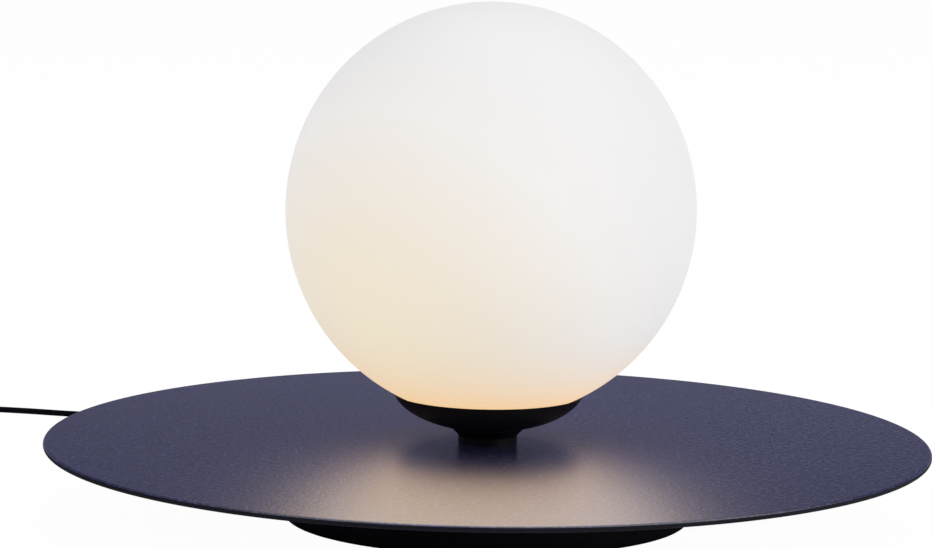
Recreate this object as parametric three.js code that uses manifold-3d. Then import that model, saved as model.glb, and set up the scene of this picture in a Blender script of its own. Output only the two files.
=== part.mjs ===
// A table lamp: an opal glass globe in a shallow cup, on a short neck, over a wide flat disc and a low base.
// A thin round lead leaves the back of the base, passes an in-line dimmer and ends in a plug-in adapter.
// Millimetres, +Z up. The origin is on the table, under the middle of the base.
import * as THREE from "three";
import { mergeVertices } from "three/addons/utils/BufferGeometryUtils.js";
import Module from "manifold-3d";

// Fits that every piece shares
const SEAT_GAP = 0.3; // between a piece and a seat that isn't flat and level
const BORE_GAP = 0.3; // round a rod, screw or tube in its hole
const OVERRUN = 2; // how far a cutting tool runs past the faces that it cuts

// Facets on round pieces
const WIDE_FACETS = 48;
const ROUND_FACETS = 36;
const SMALL_FACETS = 16;
const TINY_FACETS = 10;

// Globe of blown opal glass, with a straight collar round its mouth
const GLOBE_RADIUS = 100;
const GLOBE_HALF_HEIGHT = 101.4;
const GLASS_THICKNESS = 3;
const RIM_CLEARANCE = 0.77; // from the cup's rim to the glass, level
const GASKET_THICKNESS = 1;
const GASKET_MARGIN = 0.4; // how far the gasket stands out past the collar's wall

// Spun cup: the lower part of an ellipse, with a flat seat in the middle
const CUP_RADIUS = 47.1;
const CUP_DEPTH = 21.7;
const CUP_WALL = 1;
const RIM_DROP = 4; // the rim lies this far under the middle of the ellipse
const RIM_LAND = 0.3;
const RIM_BEVEL = 0.7;
const COLLAR_INSET = 11.1; // from the cup's full radius in to the glass collar

// Turned neck that spreads out under the cup
const NECK_RADIUS = 14.4;
const NECK_FLARE = 4;
const NECK_HEIGHT = 7.7;
const NECK_LAND = 0.2;

// Disc
const DISC_RADIUS = 217;
const DISC_THICKNESS = 3;
const DISC_EDGE = 1.2; // rounding of the edge

// Base: a drawn shell, closed from below by a plate that carries a ballast ring
const BASE_RADIUS = 99;
const BASE_HEIGHT = 34.5;
const BASE_WALL = 2;
const BASE_TOP_ROUND = 4;
const BASE_LOW_ROUND = 1.5;
const SKIRT_GAP = 1; // from the table to the shell's lower edge
const PLATE_THICKNESS = 2;
const PLATE_CLEARANCE = 0.4;
const FOOT_HEIGHT = 1.5;
const FOOT_WIDTH = 10;
const FOOT_INSET = 7;
const BALLAST_THICKNESS = 7;
const BALLAST_INNER = 42;
const BALLAST_MARGIN = 6;
const CHANNEL_WIDTH = 22; // slot in the ballast ring for the lead
const SCREW_CIRCLE = 60;
const SCREW_COUNT = 3;
const SCREW_RADIUS = 2;
const SCREW_HEAD = 3.8;
const SCREW_GRIP = 9; // length of thread in its pillar
const PILLAR_RADIUS = 5;

// Threaded tube that clamps cup, neck, disc and base together
const STEM_RADIUS = 5;
const STEM_BORE = 3.5;
const STEM_SHOW = 1; // length of tube past each nut
const NUT_SIDES = 6;
const NUT_FLATS = 14;
const NUT_HEIGHT = 4;
const WASHER_RADIUS = 8;
const LOW_WASHER_RADIUS = 13;
const WASHER_THICKNESS = 1;

// Bracket, lampholder and springs in the cup
const BRACKET_RADIUS = 17;
const BRACKET_THICKNESS = 1.2;
const BRACKET_LEG = 6;
const LEAD_ROOM = 5.4; // from the top of the tube to the lampholder
const HOLDER_SCREW_PLACE = 12;
const HOLDER_SCREW_RADIUS = 1.2;
const HOLDER_SCREW_HEAD = 2.4;
const HOLDER_SCREW_HEAD_HEIGHT = 1.5;
const HOLDER_RADIUS = 8.5;
const HOLDER_HEIGHT = 13;
const HOLDER_FLANGE = 3;
const HOLDER_FLANGE_HALF = 16;
const HOLDER_FLANGE_WIDTH = 9;
const WELL_RADIUS = 3.2;
const SPRING_THICKNESS = 0.5;
const SPRING_WIDTH = 6;
const SPRING_START = 9.4;
const SPRING_TAIL = 4.5; // height of the spring above its crest
const SPRING_COUNT = 3;
const RIVET_PLACE = 12.8;
const RIVET_RADIUS = 1.2;
const RIVET_HEAD = 2;
const RIVET_HEAD_HEIGHT = 0.8;

// Light source: a capsule on two straight pins
const PIN_SPACING = 4;
const PIN_RADIUS = 0.5;
const PIN_LENGTH = 7;
const BULB_BASE_RADIUS = 7;
const BULB_BASE_HEIGHT = 7;
const BULB_RADIUS = 8;
const BULB_LENGTH = 32;

// Leads, cord and what holds them in the base
const LEAD_RADIUS = 0.6;
const LEAD_SIDES = 6;
const CORD_RADIUS = 1.6;
const CORD_SIDES = 8;
const GLAND_RADIUS = 3.8;
const GLAND_FLANGE = 5;
const GLAND_FLANGE_THICKNESS = 1.5;
const GLAND_LENGTH = 24;
const GLAND_TIP = 2.5;
const TERMINAL_PLACE = 24;
const TERMINAL_WIDTH = 16;
const TERMINAL_DEPTH = 12;
const TERMINAL_HEIGHT = 10;
const TERMINAL_WELL = 1.8;
const TERMINAL_PITCH = 7;
const CLAMP_INSET = 35; // from the base's full radius in to the clamp
const CLAMP_HALF = 8.6;
const CLAMP_DEPTH = 8;
const CLAMP_THICKNESS = 1.6;
const CLAMP_SCREW_PLACE = 5.8;
const CLAMP_SCREW_RADIUS = 1.3;
const CLAMP_SCREW_HEAD = 2.4;
const CLAMP_SCREW_HEAD_HEIGHT = 1.5;

// In-line dimmer
const DIMMER_X = -314;
const DIMMER_Y = 200;
const DIMMER_LENGTH = 72;
const DIMMER_WIDTH = 27;
const DIMMER_BASE_HEIGHT = 7;
const DIMMER_COVER_HEIGHT = 8;
const DIMMER_WALL = 2;
const DIMMER_CORNER = 8;
const DIMMER_EDGE = 1.5;
const DIMMER_TRAVEL = 18;
const SLIDER_STEM_LENGTH = 8;
const SLIDER_STEM_WIDTH = 3.4;
const SLIDER_FOOT_MARGIN = 1.6;
const SLIDER_FOOT_THICKNESS = 1.2;
const SLIDER_KNOB_LENGTH = 14;
const SLIDER_KNOB_WIDTH = 11;
const SLIDER_KNOB_HEIGHT = 4;
const SLIDER_GROOVE = 0.8;
const SLIDER_GROOVE_COUNT = 3;
const SLIDER_GROOVE_PITCH = 3;
const BOARD_THICKNESS = 1.6;
const BOARD_LENGTH = 42;
const BOARD_WIDTH = 18;
const BOARD_LEDGE = 2; // the board stands this far over the floor of its case
const BOARD_BLOCK_WIDTH = 9;
const BOARD_BLOCK_LENGTH = 34;
const DIMMER_SCREW_PLACE = 26;
const DIMMER_SCREW_RADIUS = 1.2;
const DIMMER_SCREW_HEAD = 2.2;
const DIMMER_SCREW_HEAD_HEIGHT = 1.5;
const DIMMER_BOSS = 3.2;
const RELIEF_ROOT = 3.4;
const RELIEF_TIP = 2.4;
const RELIEF_WAIST = 2.4;
const RELIEF_LENGTH = 20;
const RELIEF_FLANGE = 3.6;
const RELIEF_FLANGE_THICKNESS = 1.4;

// Coil of spare lead, in four layers, with its tie
const COIL_TURNS = 10;
const COIL_LAYERS = 4;
const COIL_MIDDLE = 19.2; // radius at the middle of the turns
const COIL_PITCH = 3.68;
const COIL_STEPS = 24;
const COIL_SIDES = 6;
const LINK_LENGTH = 40;
const TIE_THICKNESS = 0.5;
const TIE_WIDTH = 6;

// Plug-in adapter
const TAIL_LENGTH = 80;
const ADAPTER_LENGTH = 55;
const ADAPTER_WIDTH = 42;
const ADAPTER_HEIGHT = 30;
const ADAPTER_CAP = 15;
const ADAPTER_CORNER = 6;
const ADAPTER_EDGE = 1.5;
const ADAPTER_PIN_SPACING = 19;
const ADAPTER_PIN_RADIUS = 2;
const ADAPTER_PIN_LENGTH = 19;
const ADAPTER_PIN_ROOT = 6;

// Levels on the lamp's axis, from the table up
const plateTop = FOOT_HEIGHT + PLATE_THICKNESS;
const ballastTop = plateTop + BALLAST_THICKNESS;
const shellTop = SKIRT_GAP + BASE_HEIGHT;
const shellCeiling = shellTop - BASE_WALL;
const discTop = shellTop + DISC_THICKNESS;
const cupSeat = discTop + NECK_HEIGHT;
const cupFloor = cupSeat + CUP_WALL;
const seatRadius = NECK_RADIUS + NECK_FLARE;
const cupCentre = cupSeat + CUP_DEPTH * Math.sqrt(1 - (seatRadius / CUP_RADIUS) ** 2);
const rimTop = cupCentre - RIM_DROP;
const bracketTop = cupFloor + BRACKET_THICKNESS;
const stemTop = bracketTop + WASHER_THICKNESS + NUT_HEIGHT + STEM_SHOW;
const stemBottom = shellCeiling - WASHER_THICKNESS - NUT_HEIGHT - STEM_SHOW;
const holderSeat = stemTop + LEAD_ROOM;
const holderTop = holderSeat + HOLDER_HEIGHT;
const glandHeight = plateTop + GLAND_FLANGE + SEAT_GAP;
const cordOnPlate = plateTop + SEAT_GAP + CORD_RADIUS;
const clampPlace = BASE_RADIUS - CLAMP_INSET;

// Radii that follow from others
const stemHole = STEM_RADIUS + BORE_GAP;
const shellInner = BASE_RADIUS - BASE_WALL;
const collarRadius = CUP_RADIUS - COLLAR_INSET;
const collarInner = collarRadius - GLASS_THICKNESS;
const rimOuter = cupRadiusAt(rimTop, 0);
const globeCentre =
  rimTop + GLOBE_HALF_HEIGHT * Math.sqrt(1 - ((rimOuter - RIM_LAND - RIM_CLEARANCE) / GLOBE_RADIUS) ** 2);
const gasketOuter = collarRadius + GASKET_MARGIN;
const gasketInner = collarInner - GASKET_MARGIN;
const collarBottom = cupInsideAt(gasketOuter) + SEAT_GAP + GASKET_THICKNESS;

// Places along the lead, past the base
const relief = RELIEF_LENGTH + SEAT_GAP;
const coilOuter = COIL_MIDDLE + (COIL_PITCH * COIL_TURNS) / COIL_LAYERS / 2;
const coilLead = 2 * CORD_RADIUS; // straight length at each end of the coil
const coilX = DIMMER_X + coilOuter;
const coilY = DIMMER_Y - DIMMER_LENGTH / 2 - relief - LINK_LENGTH - coilLead;
const coilFloor = TIE_THICKNESS + SEAT_GAP + CORD_RADIUS;
const coilCeiling = coilFloor + COIL_PITCH * (COIL_LAYERS - 1);
const adapterBack = coilY - coilLead - TAIL_LENGTH - relief;
const adapterFront = adapterBack - ADAPTER_LENGTH;
const adapterAxis = ADAPTER_HEIGHT / 2;

// The lead's way from the gland's tip to the dimmer, and from the coil to the adapter, lying on the table
const RUN_POINTS = [
  [0, 131, 8.5],
  [-1, 145, 5.8],
  [-4, 162, 3],
  [-11, 181, 1.9],
  [-26, 203, 1.75],
  [-50, 223, 1.7],
  [-82, 239, 1.7],
  [-118, 250, 1.7],
  [-155, 257, 1.7],
  [-192, 263, 1.7],
  [-227, 270.5, 1.7],
  [-254, 278, 1.7],
  [-279, 282.3, 1.75],
  [-299, 279.5, 2.1],
  [-310.5, 269.5, 3.7],
  [-314, 261.5, 6],
];
const TAIL_POINTS = [
  [-314, 86, 12.8],
  [-314, 76, 8.6],
  [-314, 67, 4.2],
  [-314, 58, 2.1],
  [-314, 49, 2.1],
  [-314, 40, 4.4],
  [-314, 31, 9.6],
  [-314, 23.5, 13.8],
];

const wasm = await Module();
wasm.setup();

// Radius of the cup at a height, on the outer face or on the face that lies a wall further in.
function cupRadiusAt(height, wall) {
  const down = (cupCentre - height) / (CUP_DEPTH - wall);
  return (CUP_RADIUS - wall) * Math.sqrt(1 - down ** 2);
}

// Height of the cup's inner face at a radius.
function cupInsideAt(radius) {
  const out = radius / (CUP_RADIUS - CUP_WALL);
  return cupCentre - (CUP_DEPTH - CUP_WALL) * Math.sqrt(1 - out ** 2);
}

// Points on a quarter round or other arc, from one angle to another in quarter turns.
function arc(centre, radius, from, to, steps) {
  return Array.from({ length: steps + 1 }, (_, i) => {
    const angle = ((from + ((to - from) * i) / steps) * Math.PI) / 2;
    return [centre[0] + radius * Math.cos(angle), centre[1] + radius * Math.sin(angle)];
  });
}

// A geometry with only its positions, each shared vertex once and no triangle that has shrunk to a line.
function merged(geometry) {
  const bare = geometry.clone();
  bare.deleteAttribute("normal");
  bare.deleteAttribute("uv");
  const joined = mergeVertices(bare);
  const kept = [];
  const index = joined.index.array;
  for (let i = 0; i < index.length; i += 3) {
    const [a, b, c] = index.slice(i, i + 3);
    if (a !== b && b !== c && c !== a) kept.push(a, b, c);
  }
  joined.setIndex(kept);
  return joined;
}

function toSolid(geometry) {
  const joined = merged(geometry);
  return new wasm.Manifold(
    new wasm.Mesh({
      numProp: 3,
      vertProperties: new Float32Array(joined.attributes.position.array),
      triVerts: new Uint32Array(joined.index.array),
    }),
  );
}

function toGeometry(solid) {
  const mesh = solid.getMesh();
  const geometry = new THREE.BufferGeometry();
  const count = mesh.numVert * 3;
  const places = new Float32Array(count);
  for (let i = 0; i < mesh.numVert; i++)
    places.set(mesh.vertProperties.subarray(i * mesh.numProp, i * mesh.numProp + 3), i * 3);
  geometry.setAttribute("position", new THREE.BufferAttribute(places, 3));
  geometry.setIndex(new THREE.BufferAttribute(new Uint32Array(mesh.triVerts), 1));
  geometry.computeVertexNormals();
  return geometry;
}

function join(first, ...others) {
  return toGeometry(others.reduce((whole, one) => whole.add(toSolid(one)), toSolid(first)));
}

function cut(first, ...tools) {
  return toGeometry(tools.reduce((rest, tool) => rest.subtract(toSolid(tool)), toSolid(first)));
}

// A body turned round the Z axis from a profile of [radius, height] points, which starts and ends on the
// axis or runs all the way round a ring's section. The profile may be given in either direction.
function revolve(profile, facets = ROUND_FACETS) {
  const closed = profile[0][0] === 0 ? profile : [...profile, profile[0]];
  const area = closed.reduce((sum, [r, z], i) => {
    const [nextR, nextZ] = closed[(i + 1) % closed.length];
    return sum + r * nextZ - nextR * z;
  }, 0);
  const ordered = area > 0 ? closed : [...closed].reverse();
  const points = ordered.map(([r, z]) => new THREE.Vector2(r, z));
  return new THREE.LatheGeometry(points, facets).rotateX(Math.PI / 2);
}

function rod(radius, bottom, top, facets = TINY_FACETS) {
  return revolve([[0, bottom], [radius, bottom], [radius, top], [0, top]], facets);
}

function ring(inner, outer, bottom, top, facets = SMALL_FACETS) {
  return revolve([[inner, bottom], [outer, bottom], [outer, top], [inner, top]], facets);
}

// The same body laid along +Y in place of +Z.
function layAlongY(geometry) {
  return geometry.rotateX(-Math.PI / 2);
}

function block(width, depth, bottom, top) {
  return new THREE.BoxGeometry(width, depth, top - bottom).translate(0, 0, (bottom + top) / 2);
}

function outline(points) {
  return new THREE.Shape(points.map(([x, y]) => new THREE.Vector2(x, y)));
}

function roundedRectangle(width, depth, corner) {
  const x = width / 2 - corner;
  const y = depth / 2 - corner;
  const shape = new THREE.Shape();
  shape.absarc(x, y, corner, 0, Math.PI / 2);
  shape.absarc(-x, y, corner, Math.PI / 2, Math.PI);
  shape.absarc(-x, -y, corner, Math.PI, 1.5 * Math.PI);
  shape.absarc(x, -y, corner, 1.5 * Math.PI, 2 * Math.PI);
  return shape;
}

// A prism with rounded corners whose edge is bevelled at its far end only.
function roundedBlock(width, depth, height, corner, edge) {
  const inner = roundedRectangle(width - 2 * edge, depth - 2 * edge, corner - edge);
  const whole = new THREE.ExtrudeGeometry(inner, {
    depth: height,
    bevelThickness: edge,
    bevelSize: edge,
    bevelSegments: 2,
    curveSegments: 4,
  }).translate(0, 0, -edge);
  const below = block(width + OVERRUN, depth + OVERRUN, -height, 0);
  return cut(whole, below);
}

function prism(shape, height, curveSegments = 6) {
  return new THREE.ExtrudeGeometry(shape, { depth: height, bevelEnabled: false, curveSegments });
}

// A round tube along a curve, with flat ends.
function tube(line, radius, sides, steps) {
  const corners = Array.from({ length: sides }, (_, i) => {
    const angle = (i * 2 * Math.PI) / sides;
    return [radius * Math.cos(angle), radius * Math.sin(angle)];
  });
  line.arcLengthDivisions = steps * 8;
  return new THREE.ExtrudeGeometry(outline(corners), { steps, extrudePath: line, bevelEnabled: false });
}

function smoothLine(points) {
  return new THREE.CatmullRomCurve3(points.map(([x, y, z]) => new THREE.Vector3(x, y, z)));
}

// A regular outline, from its number of sides and the distance between opposite flats.
function evenSided(sides, flats) {
  const corner = flats / 2 / Math.cos(Math.PI / sides);
  return Array.from({ length: sides }, (_, i) => {
    const angle = (2 * Math.PI * i) / sides;
    return [corner * Math.cos(angle), corner * Math.sin(angle)];
  });
}

// A strip of even thickness along a line of points, as the closed outline of its edge.
function strip(points, thickness) {
  const sides = points.map((point, i) => {
    const before = points[Math.max(i - 1, 0)];
    const after = points[Math.min(i + 1, points.length - 1)];
    const along = Math.hypot(after[0] - before[0], after[1] - before[1]);
    const across = [(before[1] - after[1]) / along, (after[0] - before[0]) / along];
    return [point, across];
  });
  const left = sides.map(([p, n]) => [p[0] + (n[0] * thickness) / 2, p[1] + (n[1] * thickness) / 2]);
  const right = sides.map(([p, n]) => [p[0] - (n[0] * thickness) / 2, p[1] - (n[1] * thickness) / 2]);
  return outline([...right, ...left.reverse()]);
}

// Places evenly round a circle, from a first angle.
function roundCircle(count, radius, first) {
  return Array.from({ length: count }, (_, i) => {
    const angle = first + (i * 2 * Math.PI) / count;
    return { x: radius * Math.cos(angle), y: radius * Math.sin(angle), angle };
  });
}

// Finishes
const paint = (color, roughness) => new THREE.MeshStandardMaterial({ color, roughness, metalness: 0.1 });
const metal = (color, roughness) => new THREE.MeshStandardMaterial({ color, roughness, metalness: 1 });
const plastic = (color, roughness) => new THREE.MeshStandardMaterial({ color, roughness, metalness: 0 });
const opalGlass = new THREE.MeshStandardMaterial({ color: 0xf4efe8, roughness: 0.25, emissive: 0x6b5a48 });
const darkPowderCoat = paint(0x2a2c38, 0.55);
const blackPaint = paint(0x0c0d12, 0.45);
const zincPlate = metal(0xb9bcc0, 0.35);
const springSteel = metal(0xc8c8c4, 0.3);
const castIron = metal(0x4a4b4d, 0.8);
const galvanised = metal(0x9da1a5, 0.5);
const blackCord = plastic(0x14161c, 0.6);
const blackCase = plastic(0x15171c, 0.5);
const clearSilicone = plastic(0xd9d6cf, 0.6);
const blackRubber = plastic(0x1a1a1c, 0.85);
const whiteCeramic = plastic(0xece8df, 0.4);
const whitePlastic = plastic(0xf1eee6, 0.5);
const circuitBoard = plastic(0x1f5a37, 0.5);
const redInsulation = plastic(0x8f1d1d, 0.5);
const nickel = metal(0xd0cfc9, 0.25);

const lamp = new THREE.Group();
lamp.name = "table_lamp";

function piece(name, geometry, material, parent = lamp) {
  const mesh = new THREE.Mesh(geometry, material);
  mesh.name = name;
  parent.add(mesh);
  return mesh;
}

// Globe

function globeProfile() {
  const side = (radius, halfHeight, mouth, steps) => {
    const last = Math.PI - Math.asin(mouth / radius);
    return Array.from({ length: steps + 1 }, (_, i) => {
      const angle = (last * i) / steps;
      return [i === 0 ? 0 : radius * Math.sin(angle), globeCentre + halfHeight * Math.cos(angle)];
    });
  };
  const outside = side(GLOBE_RADIUS, GLOBE_HALF_HEIGHT, collarRadius, 14);
  const inside = side(GLOBE_RADIUS - GLASS_THICKNESS, GLOBE_HALF_HEIGHT - GLASS_THICKNESS, collarInner, 10);
  return [...outside, [collarRadius, collarBottom], [collarInner, collarBottom], ...inside.reverse()];
}

function gasketProfile() {
  return [
    [gasketInner, cupInsideAt(gasketInner) + SEAT_GAP],
    [gasketOuter, cupInsideAt(gasketOuter) + SEAT_GAP],
    [gasketOuter, collarBottom],
    [gasketInner, collarBottom],
  ];
}

piece("globe", revolve(globeProfile()), opalGlass);
piece("globe_gasket", revolve(gasketProfile(), ROUND_FACETS), clearSilicone);

// Cup and neck

function cupProfile() {
  const steps = 5;
  const wallFrom = (low, high, wall) =>
    Array.from({ length: steps + 1 }, (_, i) => {
      const lowAngle = Math.acos((cupCentre - low) / (CUP_DEPTH - wall));
      const highAngle = Math.acos((cupCentre - high) / (CUP_DEPTH - wall));
      const angle = lowAngle + ((highAngle - lowAngle) * i) / steps;
      return [(CUP_RADIUS - wall) * Math.sin(angle), cupCentre - (CUP_DEPTH - wall) * Math.cos(angle)];
    });
  return [
    [stemHole, cupSeat],
    ...wallFrom(cupSeat, rimTop, 0),
    [rimOuter - RIM_LAND, rimTop],
    ...wallFrom(cupFloor, rimTop - RIM_BEVEL, CUP_WALL).reverse(),
    [stemHole, cupFloor],
  ];
}

function neckProfile() {
  return [
    [stemHole, discTop],
    [NECK_RADIUS, discTop],
    [NECK_RADIUS, cupSeat - NECK_LAND - NECK_FLARE],
    [seatRadius, cupSeat - NECK_LAND],
    [seatRadius, cupSeat],
    [stemHole, cupSeat],
  ];
}

piece("cup", revolve(cupProfile()), blackPaint);
piece("neck", revolve(neckProfile()), blackPaint);

// Disc

function discProfile() {
  const rim = DISC_RADIUS - DISC_EDGE;
  return [
    [stemHole, shellTop],
    ...arc([rim, shellTop + DISC_EDGE], DISC_EDGE, -1, 0, 2),
    ...arc([rim, discTop - DISC_EDGE], DISC_EDGE, 0, 1, 2),
    [stemHole, discTop],
  ];
}

piece("disc", revolve(discProfile(), WIDE_FACETS), darkPowderCoat);

// Base

const screwPlaces = roundCircle(SCREW_COUNT, SCREW_CIRCLE, -Math.PI / 2);

function atScrews(tool) {
  return screwPlaces.map(({ x, y }) => tool.clone().translate(x, y, 0));
}

function shell() {
  const walls = revolve(
    [
      [stemHole, shellTop],
      ...arc([BASE_RADIUS - BASE_TOP_ROUND, shellTop - BASE_TOP_ROUND], BASE_TOP_ROUND, 1, 0, 3),
      ...arc([BASE_RADIUS - BASE_LOW_ROUND, SKIRT_GAP + BASE_LOW_ROUND], BASE_LOW_ROUND, 0, -1, 2),
      [shellInner, SKIRT_GAP],
      ...arc([BASE_RADIUS - BASE_TOP_ROUND, shellTop - BASE_TOP_ROUND], BASE_TOP_ROUND - BASE_WALL, 0, 1, 2),
      [stemHole, shellCeiling],
    ],
    WIDE_FACETS,
  );
  const pillar = rod(PILLAR_RADIUS, ballastTop + SEAT_GAP, shellTop - BASE_WALL / 2);
  const thread = rod(SCREW_RADIUS + BORE_GAP, ballastTop - OVERRUN, ballastTop + SCREW_GRIP + OVERRUN);
  const glandHole = layAlongY(
    rod(GLAND_RADIUS + BORE_GAP, shellInner - OVERRUN, BASE_RADIUS + OVERRUN, SMALL_FACETS),
  );
  return cut(join(walls, ...atScrews(pillar)), ...atScrews(thread), glandHole.translate(0, 0, glandHeight));
}

function plate() {
  const disc = rod(shellInner - PLATE_CLEARANCE, FOOT_HEIGHT, plateTop, WIDE_FACETS);
  const countersink = revolve([
    [0, FOOT_HEIGHT - OVERRUN],
    [SCREW_HEAD + BORE_GAP, FOOT_HEIGHT - OVERRUN],
    [SCREW_HEAD + BORE_GAP, FOOT_HEIGHT],
    [SCREW_RADIUS + BORE_GAP, plateTop],
    [SCREW_RADIUS + BORE_GAP, plateTop + OVERRUN],
    [0, plateTop + OVERRUN],
  ], TINY_FACETS);
  const clampHole = rod(CLAMP_SCREW_RADIUS + BORE_GAP, FOOT_HEIGHT - OVERRUN, plateTop + OVERRUN);
  const clampHoles = clampPlaces.map(({ x, y }) => clampHole.clone().translate(x, y, 0));
  return cut(disc, ...atScrews(countersink), ...clampHoles);
}

function ballast() {
  const outer = shellInner - BALLAST_MARGIN;
  const whole = ring(BALLAST_INNER, outer, plateTop, ballastTop, WIDE_FACETS);
  const hole = rod(SCREW_RADIUS + BORE_GAP, plateTop - OVERRUN, ballastTop + OVERRUN);
  const channel = block(CHANNEL_WIDTH, outer, plateTop - OVERRUN, ballastTop + OVERRUN);
  return cut(whole, ...atScrews(hole), channel.translate(0, outer / 2 + BALLAST_INNER / 2, 0));
}

function footProfile() {
  const outer = shellInner - FOOT_INSET;
  const chamfer = FOOT_HEIGHT / 4;
  return [
    [outer - FOOT_WIDTH, 0],
    [outer - chamfer, 0],
    [outer, chamfer],
    [outer, FOOT_HEIGHT],
    [outer - FOOT_WIDTH, FOOT_HEIGHT],
  ];
}

// A countersunk screw that stands upright with its head down, from its head's face at a height.
function countersunkScrew(bottom, top) {
  return revolve([
    [0, bottom],
    [SCREW_HEAD, bottom],
    [SCREW_RADIUS, plateTop],
    [SCREW_RADIUS, top],
    [0, top],
  ], TINY_FACETS);
}

const clampPlaces = [-1, 1].map((side) => ({ x: side * CLAMP_SCREW_PLACE, y: clampPlace }));

piece("base_shell", shell(), blackPaint);
piece("base_plate", plate(), galvanised);
piece("ballast_ring", ballast(), castIron);
piece("foot_ring", revolve(footProfile(), WIDE_FACETS), blackRubber);
screwPlaces.forEach(({ x, y }, i) => {
  const screw = countersunkScrew(FOOT_HEIGHT, ballastTop + SCREW_GRIP);
  piece("base_screw_" + (i + 1), screw, zincPlate).position.set(x, y, 0);
});

// Threaded tube with its nuts and washers

function nut(bottom) {
  const shape = outline(evenSided(NUT_SIDES, NUT_FLATS));
  shape.holes.push(new THREE.Path().absarc(0, 0, stemHole, 0, 2 * Math.PI));
  return prism(shape, NUT_HEIGHT, SMALL_FACETS / 2).translate(0, 0, bottom);
}

piece("stem_tube", ring(STEM_BORE, STEM_RADIUS, stemBottom, stemTop), zincPlate);
piece("stem_washer_top", ring(stemHole, WASHER_RADIUS, bracketTop, bracketTop + WASHER_THICKNESS), zincPlate);
piece("stem_nut_top", nut(bracketTop + WASHER_THICKNESS), zincPlate);
piece(
  "stem_washer_bottom",
  ring(stemHole, LOW_WASHER_RADIUS, shellCeiling - WASHER_THICKNESS, shellCeiling),
  zincPlate,
);
piece("stem_nut_bottom", nut(shellCeiling - WASHER_THICKNESS - NUT_HEIGHT), zincPlate);

// Bracket and springs in the cup

const springPlaces = roundCircle(SPRING_COUNT, RIVET_PLACE, Math.PI / 2);

function bracket() {
  const legOuter = HOLDER_FLANGE_HALF;
  const legInner = legOuter - BRACKET_THICKNESS;
  const tabInner = HOLDER_SCREW_PLACE - HOLDER_SCREW_HEAD;
  const legMiddle = (legInner + legOuter) / 2;
  const sides = [-1, 1].flatMap((side) => [
    block(BRACKET_THICKNESS, BRACKET_LEG, cupFloor, holderSeat).translate(side * legMiddle, 0, 0),
    block(legOuter - tabInner, BRACKET_LEG, holderSeat - BRACKET_THICKNESS, holderSeat).translate(
      (side * (tabInner + legOuter)) / 2,
      0,
      0,
    ),
  ]);
  const tabBottom = holderSeat - BRACKET_THICKNESS;
  const holes = [-1, 1].map((side) =>
    rod(HOLDER_SCREW_RADIUS + BORE_GAP, tabBottom - OVERRUN, holderSeat + OVERRUN).translate(
      side * HOLDER_SCREW_PLACE,
      0,
      0,
    ),
  );
  const rivetHole = rod(RIVET_RADIUS + BORE_GAP, cupFloor - OVERRUN, bracketTop + OVERRUN);
  const rivetHoles = springPlaces.map(({ x, y }) => rivetHole.clone().translate(x, y, 0));
  const base = ring(stemHole, BRACKET_RADIUS, cupFloor, bracketTop, SMALL_FACETS);
  return cut(join(base, ...sides), ...holes, ...rivetHoles);
}

// A leaf spring in the plane of its own radius: a flat foot, a rising leaf and a crest that bears on the glass.
function spring() {
  const foot = bracketTop + SPRING_THICKNESS / 2;
  const crest = collarInner - SEAT_GAP - SPRING_THICKNESS / 2;
  const crestHeight = collarBottom + 3 * GASKET_THICKNESS;
  const knee = BRACKET_RADIUS - BRACKET_THICKNESS;
  const line = [
    [SPRING_START, foot],
    [knee, foot],
    [knee + (crest - knee) / 3, foot + (crestHeight - foot) / 5],
    [knee + ((crest - knee) * 4) / 5, foot + ((crestHeight - foot) * 3) / 5],
    [crest, crestHeight],
    [crest - SPRING_TAIL / 6, crestHeight + SPRING_TAIL / 3],
    [crest - SPRING_TAIL / 2, crestHeight + SPRING_TAIL],
  ];
  const leaf = prism(strip(line, SPRING_THICKNESS), SPRING_WIDTH).translate(0, 0, -SPRING_WIDTH / 2);
  const hole = rod(RIVET_RADIUS + BORE_GAP, bracketTop - OVERRUN, bracketTop + OVERRUN);
  return cut(leaf.rotateX(Math.PI / 2), hole.translate(RIVET_PLACE, 0, 0));
}

function rivet() {
  const underHead = bracketTop + SPRING_THICKNESS;
  return revolve([
    [0, cupFloor + SEAT_GAP],
    [RIVET_RADIUS, cupFloor + SEAT_GAP],
    [RIVET_RADIUS, underHead],
    [RIVET_HEAD, underHead],
    [RIVET_HEAD - RIVET_HEAD_HEIGHT / 2, underHead + RIVET_HEAD_HEIGHT],
    [0, underHead + RIVET_HEAD_HEIGHT],
  ], TINY_FACETS);
}

piece("holder_bracket", bracket(), zincPlate);
springPlaces.forEach(({ x, y, angle }, i) => {
  piece("globe_spring_" + (i + 1), spring(), springSteel).rotation.z = angle;
  piece("spring_rivet_" + (i + 1), rivet(), zincPlate).position.set(x, y, 0);
});

// Lampholder and light source

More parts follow.
